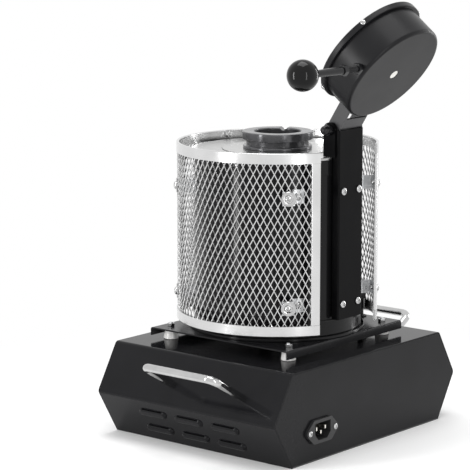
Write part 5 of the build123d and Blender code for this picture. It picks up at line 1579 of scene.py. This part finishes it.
# ---- post and hinge ----
@dataclass
class LidPost:
    """The channel behind the body that carries the hinge bolt. In millimetres."""

    dresser: Dresser
    face_y: float = 90.8
    screw_x: float = 12.5
    screw_z: tuple[float, float] = (141.5, 255.7)
    side: float = 22.0
    pin_r: float = 3.0

    def bolt_head(self) -> bpy.types.Object:
        """Models the hinge bolt with its chamfered head, along X."""
        head = Nut(across=10.0, height=4.0, bore=1.0).build("bolt_head")
        fill: Profile = [(0.0, 0.3), (1.2, 0.3), (1.2, 3.8), (0.0, 3.8)]
        face = turned("bolt_face", fill, steps=24)
        shank = threaded("bolt_shank", self.pin_r, -(2 * self.side + 4.5), 0.2, 0.8)
        whole = join("hinge_bolt_piece", [head, face, shank])
        settle(whole, facing((-self.side, HINGE[1], HINGE[2]), (-1, 0, 0), (0, 0.35, 1)))
        return whole

    def cap_nut(self) -> bpy.types.Object:
        """Models the domed cap nut, along X."""
        nut = Nut(across=10.0, height=5.0, bore=3.05).build("cap_nut_hex")
        round_z, dome_r, dome_h = 7.2, 4.6, 4.2
        line: Profile = [(0.0, 10.6), (3.1, 8.0), (3.1, 4.9), (4.5, 4.9), (dome_r, 5.2), (dome_r, round_z)]
        line += [(r, round_z + z * dome_h / dome_r) for r, z in arc(0.0, 0.0, dome_r, 12, 78, 7)]
        line.append((0.0, round_z + dome_h))
        cap = turned("cap_dome", line, steps=32)
        soften(cap, 0.0)
        whole = join("cap_nut_piece", [nut, cap])
        settle(whole, facing((self.side, HINGE[1], HINGE[2]), (1, 0, 0), (0, 0.2, 1)))
        return whole

    def build(self) -> None:
        """Refines the post and models its screws, bushes, bolt and cap nut."""
        self.dresser.refine("lid_post", "furnace", "post_black", 0.45, 3)
        self.dresser.refine("post_bushes", "furnace", "black_oxide", 0.2)
        screw = Screw(head_r=3.9, head_h=2.6, shank_l=9.0).build("post_screw")
        places = [
            facing((s * self.screw_x, self.face_y, z), (0, 1, 0)) @ Matrix.Rotation(0.6 + s, 4, "Z")
            for s in (-1, 1)
            for z in self.screw_z
        ]
        self.dresser.seat(repeat("post_screw_set", screw, places), "furnace", "bright_steel", "post_screws")
        self.dresser.seat(self.bolt_head(), "furnace", "black_oxide", "hinge_bolt")
        self.dresser.seat(self.cap_nut(), "furnace", "black_oxide", "hinge_cap_nut")


# ---- lid ----
@dataclass
class Lid:
    """The drum-shaped lid, drawn shut and swung open. In millimetres."""

    dresser: Dresser
    low: float = 290.9
    height: float = 39.6
    drum_r: float = 56.0
    sheet: float = 1.2
    edge_r: float = 3.5
    rim_r: float = 59.7
    rim_h: float = 6.0
    recess_r: float = 46.0
    vent_r: float = 5.0
    vent_deep: float = 12.0
    screw_start: float = -40.6
    grip_y: float = -10.5
    grip_z: float = 323.5
    ball_x: float = 143.0
    ball_r: float = 15.0

    @property
    def high(self) -> float:
        """The drum's flat face when shut."""
        return self.low + self.height

    def swing(self, piece: bpy.types.Object) -> bpy.types.Object:
        """Moves a piece drawn on the Z axis to the open lid."""
        settle(piece, opened() @ at(0, FURNACE_Y, 0))
        return piece

    def drum(self) -> None:
        """Models the drum's shell with its vent hole and the hole for the grip's stud."""
        low, high, r, t, e = self.low + self.sheet, self.high, self.drum_r, self.sheet, self.edge_r
        line: Profile = [(r - t, low), (r, low), *arc(r - e, high - e, e, 0, 90, 8)]
        line += [(self.vent_r + 0.25, high), (self.vent_r, high - 0.25), (self.vent_r, high - t)]
        line += arc(r - e, high - e, e - t, 90, 0, 6)
        shell = turned("drum_shell", line, steps=128)
        hole = turned("grip_hole", [(0, 0), (3.15, 0), (3.15, 30), (0, 30)], steps=24)
        settle(hole, facing((self.drum_r - 15, self.grip_y - FURNACE_Y, self.grip_z), (1, 0, 0)))
        cut(shell, hole)
        soften(shell, 0.0)
        self.swing(shell)
        self.dresser.seat(shell, "lid", "lid_black", "lid_shell")

    def rim(self) -> None:
        """Models the folded ring that closes the drum from below."""
        low, high, r, t = self.low, self.low + self.rim_h, self.rim_r, self.sheet
        inner = self.drum_r + 0.1
        f = 0.7
        line: Profile = [(self.recess_r, low), *arc(r - f, low + f, f, -90, 0, 4)]
        line += [*arc(r - f, high - f, f, 0, 90, 4), (inner, high)]
        line += [(inner, high - t), (r - t, high - t), (r - t, low + t), (self.recess_r, low + t)]
        ring = turned("folded_rim", line, steps=128)
        soften(ring, 0.12, 1, 50.0)
        self.swing(ring)
        self.dresser.seat(ring, "lid", "lid_black", "lid_rim_ring")
        screw = Screw(head_r=2.6, head_h=1.6, shank_r=1.5, shank_l=5.0).build("rim_screw")
        height = self.low + self.rim_h / 2
        turns = [self.screw_start + 90.0 * i for i in range(4)]
        places = [round_axis(turn, self.rim_r - 0.05, height) for turn in turns]
        screws = repeat("rim_screw_set", screw, [opened() @ p for p in places])
        self.dresser.seat(screws, "lid", "bright_steel", "lid_rim_screws")

    def filling(self) -> None:
        """Models the fibre filling and the plug in the vent."""
        low, top, r = self.low + self.sheet, self.high - self.sheet - 0.1, self.drum_r - self.sheet - 0.1
        ceiling = CRUCIBLE_TOP + 2.4
        vent_z, mouth = self.high - self.vent_deep, self.recess_r
        wool: Profile = [(mouth, low), (r, low), (r, top - 2.3), (r - 2.3, top), (self.vent_r, top)]
        wool += [(self.vent_r, vent_z), (0, vent_z), (0, ceiling), (mouth - 2.0, ceiling)]
        wool += [(mouth - 0.6, ceiling - 0.6), (mouth, ceiling - 2.0)]
        filling = self.swing(turned("fibre_filling", wool, steps=96))
        soften(filling, 0.0)
        self.dresser.seat(filling, "lid", "ceramic_fibre", "lid_insulation")
        r, low, high = self.vent_r - 0.2, self.high - self.vent_deep, self.high - 0.2
        line: Profile = [(0, low), (r, low), *arc(r - 0.5, high - 0.5, 0.5, 0, 90, 3), (0, high + 0.05)]
        plug = turned("vent_plug", line, steps=48)
        soften(plug, 0.0)
        self.dresser.seat(self.swing(plug), "lid", "ceramic_fibre", "lid_vent_plug")

    def grip(self) -> None:
        """Models the nuts, the turned rod and the ball."""
        axis = facing((0.0, self.grip_y, self.grip_z), (1, 0, 0), (0, 0, 1))
        edge = 10.0 / math.sqrt(3)
        outer_x = math.sqrt(self.drum_r**2 - (abs(self.grip_y - FURNACE_Y) - edge) ** 2) + 0.1
        inner_r = self.drum_r - self.sheet
        inner_x = math.sqrt(inner_r**2 - (abs(self.grip_y - FURNACE_Y) + edge) ** 2) - 0.1
        nut = Nut(across=10.0, height=5.0, bore=3.05).build("grip_nut")
        places = [opened() @ axis @ at(0, 0, x) for x in (outer_x, inner_x - 5.0)]
        nuts = repeat("grip_nut_pair", nut, places)
        self.dresser.seat(nuts, "lid", "black_oxide", "lid_grip_nuts")
        stud = threaded("grip_stud", 3.0, 49.0, 79.0, 0.8)
        collar = Nut(across=10.0, height=6.0, bore=2.9).build("grip_collar")
        settle(collar, at(0, 0, 78.0))
        taper: Profile = [(0.0, 83.0), (3.6, 83.0), (3.6, 84.6), (4.2, 85.2), (4.2, 86.0)]
        taper += [(4.2 - 1.1 * i / 6, 86.0 + 51.0 * i / 6) for i in range(1, 7)] + [(0.0, 137.0)]
        rod = turned("grip_taper", taper, steps=32)
        soften(rod, 0.0)
        whole = join("grip_rod_piece", [stud, collar, rod])
        settle(whole, opened() @ axis)
        self.dresser.seat(whole, "lid", "black_oxide", "lid_grip_rod")
        hole_r = 3.6
        start = math.sqrt(self.ball_r**2 - hole_r**2)
        first = -90 + math.degrees(math.asin(hole_r / self.ball_r))
        line = [(0.0, 6.0 - start), (3.4, 6.0 - start), (3.4, 0.5 - start)]
        line += [*arc(0.0, 0.0, self.ball_r, first, 90, 40)[:-1], (0.0, self.ball_r)]
        ball = turned("grip_ball", line, steps=64)
        soften(ball, 0.0)
        settle(ball, opened() @ axis @ at(0, 0, self.ball_x))
        self.dresser.seat(ball, "lid", "knob_plastic", "lid_ball_knob")

    def build(self) -> None:
        """Models the lid and refines its arm and saddle."""
        self.drum()
        self.rim()
        self.filling()
        self.dresser.refine("lid_arm", "lid", "grey_arm", 0.5, 3)
        self.dresser.refine("lid_saddle", "lid", "grey_arm", 0.3)
        self.grip()


# ---- studio ----
@dataclass
class Studio:
    """Camera, floor, world and soft lamps. Sizes in millimetres and degrees."""

    target: Triple = (71.35, 0.0, 209.7)
    distance: float = 2190.0
    azimuth: float = 129.8
    elevation: float = 9.9
    lens: float = 167.7
    floor_reach: float = 14.0
    world_level: float = 0.85

    def camera(self) -> None:
        """Places the camera where the photograph was taken from."""
        a, e = math.radians(self.azimuth), math.radians(self.elevation)
        back = Vector((math.sin(a) * math.cos(e), -math.cos(a) * math.cos(e), math.sin(e)))
        place = Vector(self.target) * MM + back * self.distance * MM
        bpy.ops.object.camera_add(location=place, rotation=back.to_track_quat("Z", "Y").to_euler())
        camera = bpy.context.object
        camera.name = "studio_camera"
        camera.data.lens = self.lens
        camera.data.sensor_width = 36.0
        camera.data.clip_start = 0.05
        camera.data.clip_end = 100.0
        bpy.context.scene.camera = camera

    def world(self) -> None:
        """Sets a white surround that the camera and mirrors see at full strength."""
        world = bpy.data.worlds.new("studio_world")
        world.use_nodes = True
        bpy.context.scene.world = world
        nodes, links = world.node_tree.nodes, world.node_tree.links
        shader = nodes["Background"]
        shader.inputs["Color"].default_value = (1.0, 1.0, 1.0, 1.0)
        path = nodes.new("ShaderNodeLightPath")
        seen = None
        for ray in ("Is Camera Ray", "Is Glossy Ray", "Is Transmission Ray"):
            if seen is None:
                seen = path.outputs[ray]
                continue
            either = nodes.new("ShaderNodeMath")
            either.operation = "MAXIMUM"
            links.new(seen, either.inputs[0])
            links.new(path.outputs[ray], either.inputs[1])
            seen = either.outputs[0]
        level = nodes.new("ShaderNodeMapRange")
        level.inputs["To Min"].default_value = self.world_level
        level.inputs["To Max"].default_value = 1.0
        links.new(seen, level.inputs["Value"])
        links.new(level.outputs["Result"], shader.inputs["Strength"])

    def floor(self) -> None:
        """Lays a pale floor that keeps the shadow and turns white farther out."""
        pick()
        bpy.ops.mesh.primitive_circle_add(vertices=64, radius=self.floor_reach, fill_type="NGON")
        floor = bpy.context.object
        floor.name = "studio_floor"
        pick(floor)
        bpy.ops.object.transform_apply(location=True, rotation=True, scale=True)
        material = bpy.data.materials.new("pale floor")
        material.use_nodes = True
        nodes, links = material.node_tree.nodes, material.node_tree.links
        nodes.clear()
        coords = nodes.new("ShaderNodeTexCoord")
        length = nodes.new("ShaderNodeVectorMath")
        length.operation = "LENGTH"
        links.new(coords.outputs["Object"], length.inputs[0])
        fade = nodes.new("ShaderNodeMapRange")
        fade.interpolation_type = "SMOOTHSTEP"
        fade.inputs["From Min"].default_value = 0.2
        fade.inputs["From Max"].default_value = 0.5
        links.new(length.outputs["Value"], fade.inputs["Value"])
        near = nodes.new("ShaderNodeBsdfDiffuse")
        near.inputs["Color"].default_value = (0.93, 0.93, 0.93, 1.0)
        far = nodes.new("ShaderNodeEmission")
        far.inputs["Color"].default_value = (1.0, 1.0, 1.0, 1.0)
        far.inputs["Strength"].default_value = 1.0
        mix = nodes.new("ShaderNodeMixShader")
        links.new(fade.outputs["Result"], mix.inputs["Fac"])
        links.new(near.outputs["BSDF"], mix.inputs[1])
        links.new(far.outputs["Emission"], mix.inputs[2])
        out = nodes.new("ShaderNodeOutputMaterial")
        links.new(mix.outputs["Shader"], out.inputs["Surface"])
        floor.data.materials.append(material)

    def lamp(self, name: str, place: Triple, aim: Triple, size: tuple[float, float], power: float) -> None:
        """Hangs one softbox.

        Args:
            name: The lamp's name.
            place: Where it hangs, in millimetres.
            aim: What it points at, in millimetres.
            size: Its width and height in metres.
            power: Its power in watts.
        """
        towards = (Vector(place) - Vector(aim)).to_track_quat("Z", "Y")
        pick()
        bpy.ops.object.light_add(type="AREA", location=Vector(place) * MM, rotation=towards.to_euler())
        lamp = bpy.context.object
        lamp.name = name
        lamp.data.shape = "RECTANGLE"
        lamp.data.size, lamp.data.size_y = size
        lamp.data.energy = power

    def build(self) -> None:
        """Sets the whole studio up."""
        self.camera()
        self.world()
        self.floor()
        middle = (0.0, 0.0, 210.0)
        a = math.radians(self.azimuth)
        front = Vector((math.sin(a), -math.cos(a), 0.0))
        right = Vector((-front.y, front.x, 0.0))
        for name, side, ahead, height, size, power in (
            ("left_strip", -0.78, 0.5, 0.37, (0.1, 0.7), 3.6),
            ("front_strip", 0.34, 0.86, 0.37, (0.07, 0.7), 1.2),
            ("right_rim_strip", 1.0, -0.62, 0.4, (0.1, 0.75), 2.4),
        ):
            spot = (right * side + front * ahead) / MM
            self.lamp(name, (spot.x, spot.y, height / MM), middle, size, power)
        self.lamp("top_softbox", (0.0, 0.0, 1700.0), middle, (1.0, 1.0), 12.0)
        bpy.context.scene.view_settings.view_transform = "Standard"


def dress_the_rest(dresser: Dresser) -> None:
    """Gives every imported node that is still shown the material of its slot.

    Args:
        dresser: The keeper of the materials.
    """
    slots = {part["node"]: part["material_slot"] for part in frame["record"]["subparts"]}
    for name, node in frame["nodes"].items():
        slot = slots.get(name)
        if node.hide_render or slot not in FINISHES:
            LOG.debug("%s keeps no new material (%s)", name, slot)
            continue
        for holder in node.material_slots:
            holder.material = dresser.material(slot)
        LOG.info("%s: packed solid in %s", name, slot)


def main() -> None:
    """Builds every sub-assembly in order, then the studio, and reports each piece."""
    logging.basicConfig(level=logging.INFO, format="%(name)s: %(message)s")
    pick()
    dresser = Dresser()
    kinds = (
        BaseCasing, CarryHandles, InletSet, ControlFace, TrayStand,
        FurnaceBody, CruciblePot, Guard, LidPost, Lid,
    )
    for kind in kinds:
        LOG.info("building %s", kind.__name__)
        kind(dresser).build()
    dress_the_rest(dresser)
    Studio().build()


if __name__ == "__main__":
    main()
